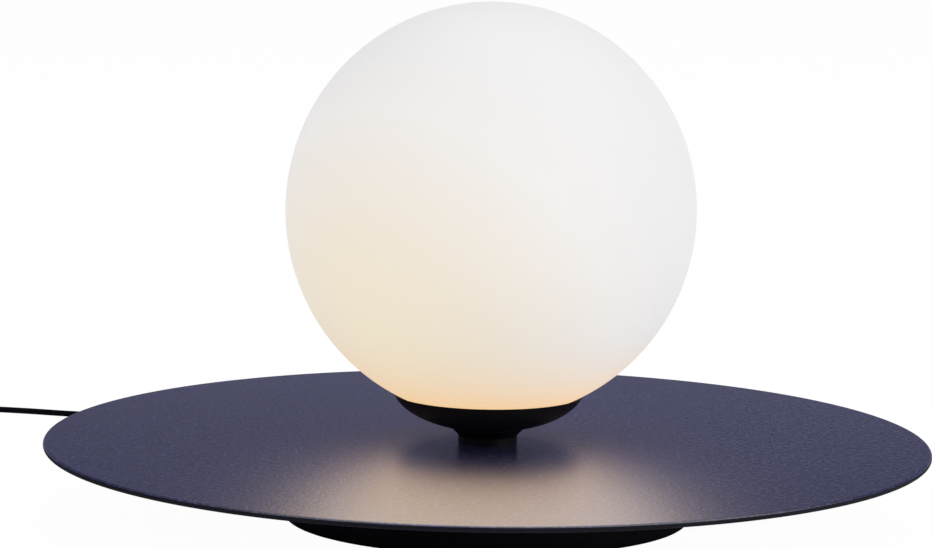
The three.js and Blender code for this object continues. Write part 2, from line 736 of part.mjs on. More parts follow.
function lampholder() {
  const flangeTop = holderSeat + HOLDER_FLANGE;
  const body = revolve([
    [0, holderSeat],
    [HOLDER_RADIUS, holderSeat],
    [HOLDER_RADIUS, holderTop - HOLDER_FLANGE / 3],
    [HOLDER_RADIUS - HOLDER_FLANGE / 3, holderTop],
    [0, holderTop],
  ], SMALL_FACETS);
  const flangeShape = roundedRectangle(2 * HOLDER_FLANGE_HALF, HOLDER_FLANGE_WIDTH, HOLDER_FLANGE_WIDTH / 3);
  const flange = prism(flangeShape, HOLDER_FLANGE, 3).translate(0, 0, holderSeat);
  const well = rod(WELL_RADIUS, holderSeat - OVERRUN, flangeTop, SMALL_FACETS);
  const sides = [-1, 1].flatMap((side) => [
    rod(PIN_RADIUS + BORE_GAP, holderTop - PIN_LENGTH - SEAT_GAP, holderTop + OVERRUN).translate(
      (side * PIN_SPACING) / 2,
      0,
      0,
    ),
    rod(HOLDER_SCREW_RADIUS + BORE_GAP, holderSeat - OVERRUN, flangeTop + OVERRUN).translate(
      side * HOLDER_SCREW_PLACE,
      0,
      0,
    ),
  ]);
  return cut(join(body, flange), well, ...sides);
}

function panScrew(radius, head, headHeight, under, length) {
  return revolve([
    [0, under - length],
    [radius, under - length],
    [radius, under],
    [head, under],
    [head, under + headHeight / 2],
    [head - headHeight / 2, under + headHeight],
    [0, under + headHeight],
  ], TINY_FACETS);
}

function bulbBase() {
  const body = rod(BULB_BASE_RADIUS, holderTop, holderTop + BULB_BASE_HEIGHT, SMALL_FACETS);
  const pins = [-1, 1].map((side) =>
    rod(PIN_RADIUS, holderTop - PIN_LENGTH, holderTop + OVERRUN, TINY_FACETS).translate(
      (side * PIN_SPACING) / 2,
      0,
      0,
    ),
  );
  return join(body, ...pins);
}

function envelopeProfile() {
  const bottom = holderTop + BULB_BASE_HEIGHT;
  const shoulder = bottom + BULB_LENGTH - BULB_RADIUS;
  const dome = arc([0, shoulder], BULB_RADIUS, 0, 1, 6).slice(0, -1);
  return [[0, bottom], [BULB_RADIUS, bottom], ...dome, [0, shoulder + BULB_RADIUS]];
}

piece("lampholder", lampholder(), whiteCeramic);
[-1, 1].forEach((side, i) => {
  const length = HOLDER_FLANGE + BRACKET_THICKNESS + HOLDER_SCREW_HEAD_HEIGHT;
  const under = holderSeat + HOLDER_FLANGE;
  const screw = panScrew(HOLDER_SCREW_RADIUS, HOLDER_SCREW_HEAD, HOLDER_SCREW_HEAD_HEIGHT, under, length);
  piece("holder_screw_" + (i + 1), screw, zincPlate).position.x = side * HOLDER_SCREW_PLACE;
});
piece("bulb_base", bulbBase(), whitePlastic);
piece("bulb_envelope", revolve(envelopeProfile(), SMALL_FACETS), clearSilicone);

// What holds and joins the lead inside the base

function terminalBlock() {
  const body = block(TERMINAL_WIDTH, TERMINAL_DEPTH, plateTop, plateTop + TERMINAL_HEIGHT);
  const notch = block(
    TERMINAL_PITCH / 4,
    TERMINAL_DEPTH + OVERRUN,
    plateTop + TERMINAL_HEIGHT / 2,
    plateTop + 2 * TERMINAL_HEIGHT,
  );
  const wells = [-1, 1].map((side) =>
    rod(TERMINAL_WELL, plateTop + TERMINAL_HEIGHT / 2, plateTop + 2 * TERMINAL_HEIGHT).translate(
      (side * TERMINAL_PITCH) / 2,
      0,
      0,
    ),
  );
  return cut(body, notch, ...wells).translate(0, TERMINAL_PLACE, 0);
}

function clamp() {
  const arch = CORD_RADIUS + SEAT_GAP;
  const over = cordOnPlate + arch + CLAMP_THICKNESS;
  const foot = plateTop + CLAMP_THICKNESS;
  const shape = outline([
    [-CLAMP_HALF, plateTop],
    [-arch, plateTop],
    ...arc([0, cordOnPlate], arch, 2, 0, 8),
    [arch, plateTop],
    [CLAMP_HALF, plateTop],
    [CLAMP_HALF, foot],
    [arch + CLAMP_THICKNESS, foot],
    [arch, over],
    [-arch, over],
    [-arch - CLAMP_THICKNESS, foot],
    [-CLAMP_HALF, foot],
  ]);
  const bar = prism(shape, CLAMP_DEPTH).rotateX(Math.PI / 2).translate(0, clampPlace + CLAMP_DEPTH / 2, 0);
  const hole = rod(CLAMP_SCREW_RADIUS + BORE_GAP, plateTop - OVERRUN, foot + OVERRUN);
  return cut(bar, ...clampPlaces.map(({ x, y }) => hole.clone().translate(x, y, 0)));
}

function gland() {
  const inside = Math.sqrt(shellInner ** 2 - GLAND_FLANGE ** 2) - SEAT_GAP;
  const tip = BASE_RADIUS + GLAND_LENGTH;
  const bore = CORD_RADIUS + BORE_GAP;
  return layAlongY(
    revolve([
      [bore, inside - GLAND_FLANGE_THICKNESS],
      [GLAND_FLANGE, inside - GLAND_FLANGE_THICKNESS],
      [GLAND_FLANGE, inside],
      [GLAND_RADIUS, inside],
      [GLAND_RADIUS, BASE_RADIUS + GLAND_LENGTH / 4],
      [GLAND_TIP, tip],
      [bore, tip],
    ], SMALL_FACETS),
  ).translate(0, 0, glandHeight);
}

function innerCord() {
  const block = TERMINAL_PLACE + TERMINAL_DEPTH / 2 + SEAT_GAP;
  const wall = BASE_RADIUS;
  return tube(
    smoothLine([
      [0, wall + GLAND_LENGTH, glandHeight],
      [0, wall + GLAND_LENGTH / 2, glandHeight],
      [0, wall - GLAND_FLANGE, glandHeight],
      [0, (wall + clampPlace) / 2, (glandHeight + cordOnPlate) / 2],
      [0, clampPlace + CLAMP_DEPTH / 2, cordOnPlate],
      [0, clampPlace - CLAMP_DEPTH / 2, cordOnPlate],
      [0, (clampPlace + block) / 2, cordOnPlate],
      [0, block + 2 * CORD_RADIUS, cordOnPlate],
      [0, block, cordOnPlate],
    ]),
    CORD_RADIUS,
    CORD_SIDES,
    16,
  );
}

// One insulated lead, from the terminal block up through the threaded tube to the lampholder's well.
function lead(side) {
  const start = TERMINAL_PLACE - TERMINAL_DEPTH / 2 - SEAT_GAP;
  const level = plateTop + TERMINAL_HEIGHT / 4;
  const inTube = (side * STEM_BORE) / 3;
  const end = holderSeat + HOLDER_FLANGE / 2;
  return tube(
    smoothLine([
      [(side * TERMINAL_PITCH) / 2, start, level],
      [(side * TERMINAL_PITCH) / 2, start - 4 * LEAD_RADIUS, level],
      [(side * TERMINAL_PITCH) / 3, start / 4, (level + stemBottom) / 2],
      [inTube, 0, stemBottom],
      [inTube, 0, (stemBottom + stemTop) / 2],
      [inTube, 0, stemTop],
      [inTube, 0, end],
    ]),
    LEAD_RADIUS,
    LEAD_SIDES,
    16,
  );
}

piece("terminal_block", terminalBlock(), whitePlastic);
piece("cord_clamp", clamp(), galvanised);
clampPlaces.forEach(({ x, y }, i) => {
  const under = plateTop + CLAMP_THICKNESS;
  const length = CLAMP_THICKNESS + PLATE_THICKNESS;
  const screw = panScrew(CLAMP_SCREW_RADIUS, CLAMP_SCREW_HEAD, CLAMP_SCREW_HEAD_HEIGHT, under, length);
  piece("clamp_screw_" + (i + 1), screw, zincPlate).position.set(x, y, 0);
});
piece("cord_gland", gland(), blackCase);
piece("cord_inner", innerCord(), blackCord);
piece("lead_positive", lead(1), redInsulation);
piece("lead_negative", lead(-1), blackCord);

// In-line dimmer, in a group of its own with its length along Y

const dimmer = new THREE.Group();
dimmer.position.set(DIMMER_X, DIMMER_Y, 0);
lamp.add(dimmer);

const dimmerTop = DIMMER_BASE_HEIGHT + DIMMER_COVER_HEIGHT;
const coverInside = dimmerTop - DIMMER_WALL;
const dimmerEnds = [-1, 1];

// The holes through both end walls for the strain reliefs, and the wider hollow behind each wall.
function dimmerEndCuts() {
  const half = DIMMER_LENGTH / 2;
  return dimmerEnds.map((end) =>
    layAlongY(rod(RELIEF_WAIST + BORE_GAP, half - DIMMER_WALL - OVERRUN, half + OVERRUN, TINY_FACETS))
      .rotateZ(end > 0 ? 0 : Math.PI)
      .translate(0, 0, DIMMER_BASE_HEIGHT),
  );
}

function dimmerHollow(bottom, top) {
  const shape = roundedRectangle(
    DIMMER_WIDTH - 2 * DIMMER_WALL,
    DIMMER_LENGTH - 2 * DIMMER_WALL,
    DIMMER_CORNER - DIMMER_WALL,
  );
  return prism(shape, top - bottom, 4).translate(0, 0, bottom);
}

function dimmerBase() {
  const whole = roundedBlock(DIMMER_WIDTH, DIMMER_LENGTH, DIMMER_BASE_HEIGHT, DIMMER_CORNER, DIMMER_EDGE)
    .rotateX(Math.PI)
    .translate(0, 0, DIMMER_BASE_HEIGHT);
  const ledge = block(BOARD_WIDTH, DIMMER_EDGE, DIMMER_WALL - DIMMER_WALL / 2, DIMMER_WALL + BOARD_LEDGE);
  const ledges = dimmerEnds.map((end) => ledge.clone().translate(0, (end * BOARD_LENGTH) / 3, 0));
  const screwCuts = dimmerEnds.flatMap((end) => [
    rod(DIMMER_SCREW_RADIUS + BORE_GAP, -OVERRUN, DIMMER_BASE_HEIGHT).translate(0, end * DIMMER_SCREW_PLACE, 0),
    rod(DIMMER_SCREW_HEAD + BORE_GAP, -OVERRUN, DIMMER_WALL).translate(0, end * DIMMER_SCREW_PLACE, 0),
  ]);
  const posts = dimmerEnds.map((end) =>
    rod(DIMMER_BOSS, DIMMER_WALL / 2, DIMMER_BASE_HEIGHT - SEAT_GAP, TINY_FACETS).translate(
      0,
      end * DIMMER_SCREW_PLACE,
      0,
    ),
  );
  const hollowed = cut(whole, dimmerHollow(DIMMER_WALL, DIMMER_BASE_HEIGHT + OVERRUN), ...dimmerEndCuts());
  return cut(join(hollowed, ...ledges, ...posts), ...screwCuts);
}

function dimmerCover() {
  const whole = roundedBlock(
    DIMMER_WIDTH,
    DIMMER_LENGTH,
    DIMMER_COVER_HEIGHT,
    DIMMER_CORNER,
    DIMMER_EDGE,
  ).translate(0, 0, DIMMER_BASE_HEIGHT);
  const slotLength = SLIDER_STEM_LENGTH + DIMMER_TRAVEL + 2 * BORE_GAP;
  const slotWidth = SLIDER_STEM_WIDTH + 2 * BORE_GAP;
  const slot = block(slotWidth, slotLength, coverInside - OVERRUN, dimmerTop + OVERRUN);
  const bosses = dimmerEnds.map((end) =>
    rod(DIMMER_BOSS, DIMMER_BASE_HEIGHT, dimmerTop - DIMMER_WALL / 2, TINY_FACETS).translate(
      0,
      end * DIMMER_SCREW_PLACE,
      0,
    ),
  );
  const threads = dimmerEnds.map((end) =>
    rod(DIMMER_SCREW_RADIUS + BORE_GAP, DIMMER_BASE_HEIGHT - OVERRUN, coverInside).translate(
      0,
      end * DIMMER_SCREW_PLACE,
      0,
    ),
  );
  const hollowed = cut(whole, dimmerHollow(DIMMER_BASE_HEIGHT - OVERRUN, coverInside), ...dimmerEndCuts());
  return cut(join(hollowed, ...bosses), ...threads, slot);
}

// The slider, with its foot under the cover, its stem in the slot and its ribbed knob on top.
function slider() {
  const footTop = coverInside - SEAT_GAP;
  const knobBottom = dimmerTop + SEAT_GAP;
  const footWidth = SLIDER_STEM_WIDTH + 2 * SLIDER_FOOT_MARGIN;
  const footBottom = footTop - SLIDER_FOOT_THICKNESS;
  const foot = block(footWidth, SLIDER_STEM_LENGTH, footBottom, footTop);
  const stem = block(SLIDER_STEM_WIDTH, SLIDER_STEM_LENGTH, footBottom, knobBottom + OVERRUN);
  const knob = roundedBlock(SLIDER_KNOB_WIDTH, SLIDER_KNOB_LENGTH, SLIDER_KNOB_HEIGHT, OVERRUN, SLIDER_GROOVE);
  const knobTop = knobBottom + SLIDER_KNOB_HEIGHT;
  const grooves = Array.from({ length: SLIDER_GROOVE_COUNT }, (_, i) =>
    block(SLIDER_KNOB_WIDTH + OVERRUN, SLIDER_GROOVE, knobTop - SLIDER_GROOVE, knobTop + OVERRUN).translate(
      0,
      (i - (SLIDER_GROOVE_COUNT - 1) / 2) * SLIDER_GROOVE_PITCH,
      0,
    ),
  );
  return cut(join(foot, stem, knob.translate(0, 0, knobBottom)), ...grooves);
}

function dimmerBoard() {
  const bottom = DIMMER_WALL + BOARD_LEDGE;
  const top = bottom + BOARD_THICKNESS;
  const trackTop = coverInside - 2 * SEAT_GAP - SLIDER_FOOT_THICKNESS;
  return join(
    block(BOARD_WIDTH, BOARD_LENGTH, bottom, top),
    block(BOARD_BLOCK_WIDTH, BOARD_BLOCK_LENGTH, top - BOARD_THICKNESS / 2, trackTop),
  );
}

// A tapered strain relief along +Y, from its flange behind a wall whose outer face is at zero.
function strainRelief(wall) {
  const behind = -wall - SEAT_GAP;
  return layAlongY(
    revolve([
      [0, behind - RELIEF_FLANGE_THICKNESS],
      [RELIEF_FLANGE, behind - RELIEF_FLANGE_THICKNESS],
      [RELIEF_FLANGE, behind],
      [RELIEF_WAIST, behind],
      [RELIEF_WAIST, SEAT_GAP],
      [RELIEF_ROOT, SEAT_GAP],
      [RELIEF_ROOT, RELIEF_LENGTH / 4],
      [RELIEF_TIP, RELIEF_LENGTH],
      [0, RELIEF_LENGTH],
    ], SMALL_FACETS),
  );
}

const sliderRest = DIMMER_TRAVEL / 2; // full light, at the end of the slot nearer the lamp
piece("dimmer_base", dimmerBase(), blackCase, dimmer);
piece("dimmer_cover", dimmerCover(), blackCase, dimmer);
piece("dimmer_slider", slider(), blackCase, dimmer).position.y = sliderRest;
piece("dimmer_board", dimmerBoard(), circuitBoard, dimmer);
["dimmer_relief_in", "dimmer_relief_out"].forEach((name, i) => {
  const end = i === 0 ? 1 : -1;
  const one = piece(name, strainRelief(DIMMER_WALL), blackCord, dimmer);
  one.position.set(0, (end * DIMMER_LENGTH) / 2, DIMMER_BASE_HEIGHT);
  one.rotation.z = end > 0 ? 0 : Math.PI;
});
dimmerEnds.forEach((end, i) => {
  const shankTop = coverInside - SEAT_GAP;
  const screw = panScrew(
    DIMMER_SCREW_RADIUS,
    DIMMER_SCREW_HEAD,
    DIMMER_SCREW_HEAD_HEIGHT,
    0,
    shankTop - DIMMER_WALL,
  ).rotateX(Math.PI);
  piece("dimmer_screw_" + (i + 1), screw, zincPlate, dimmer).position.set(
    0,
    end * DIMMER_SCREW_PLACE,
    DIMMER_WALL,
  );
});

// Coil

// The coil's middle line. It winds in and out between the outer and inner radius, a quarter of the turns to a
// layer, and climbs to the next layer in the half turn round each reversal. Its ends run straight.
class CoilLine extends THREE.Curve {
  constructor() {
    super();
    this.perLayer = COIL_TURNS / COIL_LAYERS;
    this.wound = 2 * Math.PI * COIL_MIDDLE * COIL_TURNS;
  }

  // A point after some turns, with the turns counted from the end that comes from the dimmer.
  wind(turns) {
    const layer = Math.min(Math.floor(turns / this.perLayer), COIL_LAYERS - 1);
    const inLayer = turns - layer * this.perLayer;
    const inward = layer % 2 === 0 ? inLayer : this.perLayer - inLayer;
    const radius = coilOuter - COIL_PITCH * inward;
    const climb = Array.from({ length: COIL_LAYERS - 1 }, (_, i) => {
      const past = (turns - (i + 1) * this.perLayer) * 2 + 1 / 2;
      return Math.min(Math.max(past, 0), 1);
    }).reduce((sum, part) => sum + part, 0);
    const angle = Math.PI + 2 * Math.PI * turns;
    return new THREE.Vector3(
      coilX + radius * Math.cos(angle),
      coilY + radius * Math.sin(angle),
      coilFloor + COIL_PITCH * climb,
    );
  }

  getPoint(t, target = new THREE.Vector3()) {
    const along = t * (this.wound + 2 * coilLead) - coilLead;
    const turns = Math.min(Math.max(along / this.wound, 0), 1) * COIL_TURNS;
    const point = this.wind(turns);
    if (along < 0) point.y -= along;
    if (along > this.wound) point.y -= along - this.wound;
    return target.copy(point);
  }
}

// The least distance between two stretches of a tube that aren't neighbours, from surface to surface.
function leastGap(line, steps, radius) {
  const points = line.getSpacedPoints(steps);
  const apart = Math.ceil((steps * 8 * radius) / line.getLength());
  let least = Infinity;
  for (let i = 0; i < points.length; i++)
    for (let j = i + apart; j < points.length; j++) least = Math.min(least, points[i].distanceTo(points[j]));
  return least - 2 * radius;
}

function tie() {
  const half = TIE_WIDTH / 2;
  const coilInner = coilOuter - (COIL_PITCH * COIL_TURNS) / COIL_LAYERS;
  const inner = Math.sqrt((coilInner - CORD_RADIUS) ** 2 - half ** 2) - SEAT_GAP;
  const outer = coilOuter + CORD_RADIUS + SEAT_GAP;
  const low = TIE_THICKNESS;
  const high = coilCeiling + CORD_RADIUS + SEAT_GAP;
  const section = (grow) =>
    roundedRectangle(outer - inner + 2 * grow, high - low + 2 * grow, CORD_RADIUS + grow);
  const band = prism(section(TIE_THICKNESS), TIE_WIDTH, 3);
  const inside = prism(section(0), TIE_WIDTH + 2 * OVERRUN, 3).translate(0, 0, -OVERRUN);
  return cut(band, inside)
    .rotateX(Math.PI / 2)
    .translate((inner + outer) / 2, half, (low + high) / 2);
}

const coilLine = new CoilLine();
const coil = tube(coilLine, CORD_RADIUS, COIL_SIDES, COIL_TURNS * COIL_STEPS);
const coilGap = leastGap(coilLine, COIL_TURNS * COIL_STEPS * 4, CORD_RADIUS);
const coilLength = coilLine.getLength();
console.log("coil: least gap to itself " + coilGap.toFixed(2) + " mm, length " + coilLength.toFixed(0) + " mm");

piece("cord_coil", coil, blackCord);
piece("coil_tie", tie(), blackRubber).position.set(coilX, coilY, 0);

// Free stretches of the lead

const glandTip = [0, BASE_RADIUS + GLAND_LENGTH + SEAT_GAP, glandHeight];
const dimmerIn = [DIMMER_X, DIMMER_Y + DIMMER_LENGTH / 2 + relief, DIMMER_BASE_HEIGHT];
const dimmerOut = [DIMMER_X, DIMMER_Y - DIMMER_LENGTH / 2 - relief, DIMMER_BASE_HEIGHT];
const coilIn = [DIMMER_X, coilY + coilLead + SEAT_GAP, coilFloor];
const coilOut = [DIMMER_X, coilY - coilLead - SEAT_GAP, coilCeiling];
const adapterIn = [DIMMER_X, adapterBack + relief, adapterAxis];

// A run of lead between two ends, straight along Y for one diameter at each.
function leadBetween(start, points, end, steps) {
  const straight = 2 * CORD_RADIUS;
  const startSide = Math.sign(points[0][1] - start[1]);
  const endSide = Math.sign(points.at(-1)[1] - end[1]);
  const line = smoothLine([
    start,
    [start[0], start[1] + startSide * straight, start[2]],
    ...points,
    [end[0], end[1] + endSide * straight, end[2]],
    end,
  ]);
  console.log("stretch of lead: " + line.getLength().toFixed(0) + " mm");
  return tube(line, CORD_RADIUS, CORD_SIDES, steps);
}

const linkMiddle = [
  [DIMMER_X, (dimmerOut[1] + coilIn[1]) / 2, (DIMMER_BASE_HEIGHT + coilFloor) / 2],
];
piece("cord_run", leadBetween(glandTip, RUN_POINTS, dimmerIn, 50), blackCord);
piece("cord_link", leadBetween(dimmerOut, linkMiddle, coilIn, 5), blackCord);
piece("cord_tail", leadBetween(coilOut, TAIL_POINTS, adapterIn, 14), blackCord);

// Adapter, in a group whose own +Y points back along the lead

const adapter = new THREE.Group();
adapter.position.set(DIMMER_X, adapterBack, adapterAxis);
lamp.add(adapter);

function adapterHalf(length, facing) {
  return roundedBlock(ADAPTER_WIDTH, ADAPTER_HEIGHT, length, ADAPTER_CORNER, ADAPTER_EDGE).rotateX(
    (-facing * Math.PI) / 2,
  );
}

function adapterShell() {
  const length = ADAPTER_LENGTH - ADAPTER_CAP;
  const depth = DIMMER_WALL + RELIEF_FLANGE_THICKNESS + 2 * SEAT_GAP;
  const body = adapterHalf(length, 1).translate(0, -length, 0);
  const hole = layAlongY(rod(RELIEF_WAIST + BORE_GAP, -depth, OVERRUN, SMALL_FACETS));
  const pocket = layAlongY(rod(RELIEF_FLANGE + BORE_GAP, -depth, -DIMMER_WALL, SMALL_FACETS));
  return cut(body, hole, pocket);
}

function adapterCap() {
  const body = adapterHalf(ADAPTER_CAP, -1).translate(0, ADAPTER_CAP - ADAPTER_LENGTH, 0);
  const holes = [-1, 1].map((side) =>
    layAlongY(
      rod(
        ADAPTER_PIN_RADIUS + BORE_GAP,
        -ADAPTER_LENGTH - OVERRUN,
        ADAPTER_PIN_ROOT + SEAT_GAP - ADAPTER_LENGTH,
      ),
    ).translate((side * ADAPTER_PIN_SPACING) / 2, 0, 0),
  );
  return cut(body, ...holes);
}

function adapterPin() {
  const tip = -ADAPTER_LENGTH - ADAPTER_PIN_LENGTH;
  return layAlongY(
    revolve([
      [0, tip],
      [ADAPTER_PIN_RADIUS / 2, tip],
      [ADAPTER_PIN_RADIUS, tip + ADAPTER_PIN_RADIUS / 2],
      [ADAPTER_PIN_RADIUS, ADAPTER_PIN_ROOT - ADAPTER_LENGTH],
      [0, ADAPTER_PIN_ROOT - ADAPTER_LENGTH],
    ], TINY_FACETS),
  );
}

piece("adapter_shell", adapterShell(), blackCase, adapter);
piece("adapter_cap", adapterCap(), blackCase, adapter);
piece("adapter_relief", strainRelief(DIMMER_WALL), blackCord, adapter);
[-1, 1].forEach((side, i) => {
  piece("adapter_pin_" + (i + 1), adapterPin(), nickel, adapter).position.x = (side * ADAPTER_PIN_SPACING) / 2;
});

export default lamp;
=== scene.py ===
"""A table lamp: an opal glass globe in a small cup over a wide flat disc, with its cord and dimmer.

Everything is in metres, +Z up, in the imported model's own frame.
"""

import logging
import math
from collections.abc import Callable, Iterator, Sequence
from contextlib import contextmanager
from dataclasses import dataclass, field
from enum import Enum
from itertools import pairwise

import bmesh
import bpy
from mathutils import Matrix, Vector


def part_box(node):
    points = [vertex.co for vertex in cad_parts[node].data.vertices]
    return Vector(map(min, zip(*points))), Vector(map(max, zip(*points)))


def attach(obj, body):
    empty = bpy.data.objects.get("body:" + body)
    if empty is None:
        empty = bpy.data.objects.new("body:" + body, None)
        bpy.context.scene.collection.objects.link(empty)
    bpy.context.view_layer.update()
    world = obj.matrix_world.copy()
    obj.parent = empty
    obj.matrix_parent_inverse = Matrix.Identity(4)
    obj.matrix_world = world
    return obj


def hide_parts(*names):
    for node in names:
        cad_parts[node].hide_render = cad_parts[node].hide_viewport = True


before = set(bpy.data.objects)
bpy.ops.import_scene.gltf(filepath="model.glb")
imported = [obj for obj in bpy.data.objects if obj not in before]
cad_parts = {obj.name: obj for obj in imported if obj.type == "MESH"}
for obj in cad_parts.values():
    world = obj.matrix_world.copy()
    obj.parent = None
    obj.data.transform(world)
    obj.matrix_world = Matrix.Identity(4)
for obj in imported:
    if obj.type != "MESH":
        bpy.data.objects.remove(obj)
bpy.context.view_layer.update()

log = logging.getLogger("lamp")

MM = 0.001
QUARTER = math.pi / 2
SAME_PLACE = 1e-5
ON_RING = 10 * SAME_PLACE
WELD = SAME_PLACE / 5  # points that are closer than this become one
FLAT = math.radians(0.4)  # faces that turn by less than this become one
SMOOTH_ANGLE = math.radians(40)
FACING = 0.9  # the least share of its normal that makes a face look up, down or along
PAST = MM  # how far a cutting tool reaches past the face that it opens
CLEARANCE = 0.3 * MM  # the air that a moulding leaves round what goes into it
GROOVE_DEPTH = 0.16  # how deep a strain relief's grooves are, as a share of its radius

Point = tuple[float, float, float]
Outline = list[tuple[float, float]]
Test = Callable[[object], bool]
Node = bpy.types.Node
Object = bpy.types.Object
Socket = bpy.types.NodeSocket


class Element(Enum):
    """What an edit-mode tool works on."""

    EDGE = "EDGE"
    FACE = "FACE"


class Axis(Enum):
    """The three directions, by their place in a point."""

    X = 0
    Y = 1
    Z = 2


class Body(Enum):
    """The moving bodies of the lamp."""

    LAMP = "lamp"
    GLOBE = "globe"
    BULB = "bulb"
    SLIDER = "slider"


# Colour and shader helpers


def linear(code: str) -> tuple[float, float, float, float]:
    """Turns an sRGB hex colour into a linear one.

    Args:
        code: The colour as "#rrggbb".

    Returns:
        Red, green, blue and an alpha of one.
    """
    parts = [int(code[i : i + 2], 16) / 255 for i in (1, 3, 5)]
    red, green, blue = (c / 12.92 if c <= 0.04045 else ((c + 0.055) / 1.055) ** 2.4 for c in parts)
    return (red, green, blue, 1.0)


def add_node(
    tree: bpy.types.NodeTree, kind: str, inputs: dict[str | int, object], **settings: object
) -> Node:
    """Adds one shader node.

    Args:
        tree: The node tree that it goes into.
        kind: The node's type name.
        inputs: A value or another node's output for each of its sockets, by name or number.
        settings: Its own settings, by name.

    Returns:
        The new node.
    """
    node = tree.nodes.new(kind)
    for name, value in settings.items():
        setattr(node, name, value)
    for name, value in inputs.items():
        if isinstance(value, Socket):
            tree.links.new(value, node.inputs[name])
        else:
            node.inputs[name].default_value = value
    return node


def set_ramp(node: Node, stops: Sequence[tuple[float, str]]) -> None:
    """Gives a colour ramp its stops.

    Args:
        node: The ramp's node.
        stops: A place from zero to one and an sRGB hex colour for each stop.
    """
    ramp = node.color_ramp
    while len(ramp.elements) < len(stops):
        ramp.elements.new(1.0)
    for element, (place, code) in zip(ramp.elements, stops):
        element.position = place
        element.color = linear(code)


# Finishes


@dataclass
class Skin:
    """A material while it is being built: its node tree, its shader and the object's coordinates."""

    tree: bpy.types.NodeTree
    shader: Node
    coords: Socket


@dataclass(frozen=True)
class Finish:
    """A surface finish: the colour and gloss of one real material.

    `slot` is the record's material slot. `grain` is the size of the surface's texture and `relief`
    the texture's height. `tone` is the other colour that the texture drifts to, and `shine` how
    much it mirrors.
    """

    name: str
    slot: str
    colour: str
    tone: str
    roughness: float
    metallic: float = 0.0
    grain: float = 0.6 * MM
    relief: float = 0.02 * MM
    gloss_spread: float = 0.06
    shine: float = 0.5
    coat: float = 0.0
    coat_roughness: float = 0.1
    coat_ior: float = 1.5

    def material(self) -> bpy.types.Material:
        """Makes the finish's Blender material, the first time that it is asked for.

        Returns:
            The material.
        """
        known = bpy.data.materials.get(self.name)
        if known:
            return known
        made = bpy.data.materials.new(self.name)
        made.use_nodes = True
        tree = made.node_tree
        shader = tree.nodes["Principled BSDF"]
        shader.inputs["Metallic"].default_value = self.metallic
        shader.inputs["Specular IOR Level"].default_value = self.shine
        shader.inputs["Coat Weight"].default_value = self.coat
        shader.inputs["Coat Roughness"].default_value = self.coat_roughness
        shader.inputs["Coat IOR"].default_value = self.coat_ior
        self.dress(Skin(tree, shader, add_node(tree, "ShaderNodeTexCoord", {}).outputs["Object"]))
        return made

    def dress(self, skin: Skin) -> None:
        """Links the finish's texture to its shader.

        Args:
            skin: The material that is being built.
        """
        fine = {"Vector": skin.coords, "Scale": 1 / self.grain, "Detail": 3.0}
        grain = add_node(skin.tree, "ShaderNodeTexNoise", fine).outputs["Fac"]
        broad = {"Vector": skin.coords, "Scale": 1 / (40 * self.grain), "Detail": 2.0}
        cloud = add_node(skin.tree, "ShaderNodeTexNoise", broad).outputs["Fac"]
        self.colour_by(skin, cloud, [(0.3, self.colour), (0.75, self.tone)])
        self.gloss_by(skin, grain)
        self.relief_by(skin, grain)

    def colour_by(self, skin: Skin, value: Socket, stops: Sequence[tuple[float, str]]) -> None:
        """Lets the colour drift between the stops of a ramp.

        Args:
            skin: The material that is being built.
            value: The texture's value.
            stops: The ramp's places and colours.
        """
        ramp = add_node(skin.tree, "ShaderNodeValToRGB", {"Fac": value})
        set_ramp(ramp, stops)
        skin.tree.links.new(ramp.outputs["Color"], skin.shader.inputs["Base Color"])

    def gloss_by(self, skin: Skin, value: Socket) -> None:
        """Lets the roughness vary a little about its middle.

        Args:
            skin: The material that is being built.
            value: The texture's value.
        """
        low, high = self.roughness - self.gloss_spread, self.roughness + self.gloss_spread
        spread = add_node(skin.tree, "ShaderNodeMapRange", {"Value": value, "To Min": low, "To Max": high})
        skin.tree.links.new(spread.outputs["Result"], skin.shader.inputs["Roughness"])

    def relief_by(self, skin: Skin, value: Socket) -> None:
        """Gives the surface the texture's relief.

        Args:
            skin: The material that is being built.
            value: The texture's value.
        """
        inputs = {"Height": value, "Distance": self.relief, "Strength": 1.0}
        normal = add_node(skin.tree, "ShaderNodeBump", inputs).outputs["Normal"]
        skin.tree.links.new(normal, skin.shader.inputs["Normal"])
        if self.coat:
            skin.tree.links.new(normal, skin.shader.inputs["Coat Normal"])


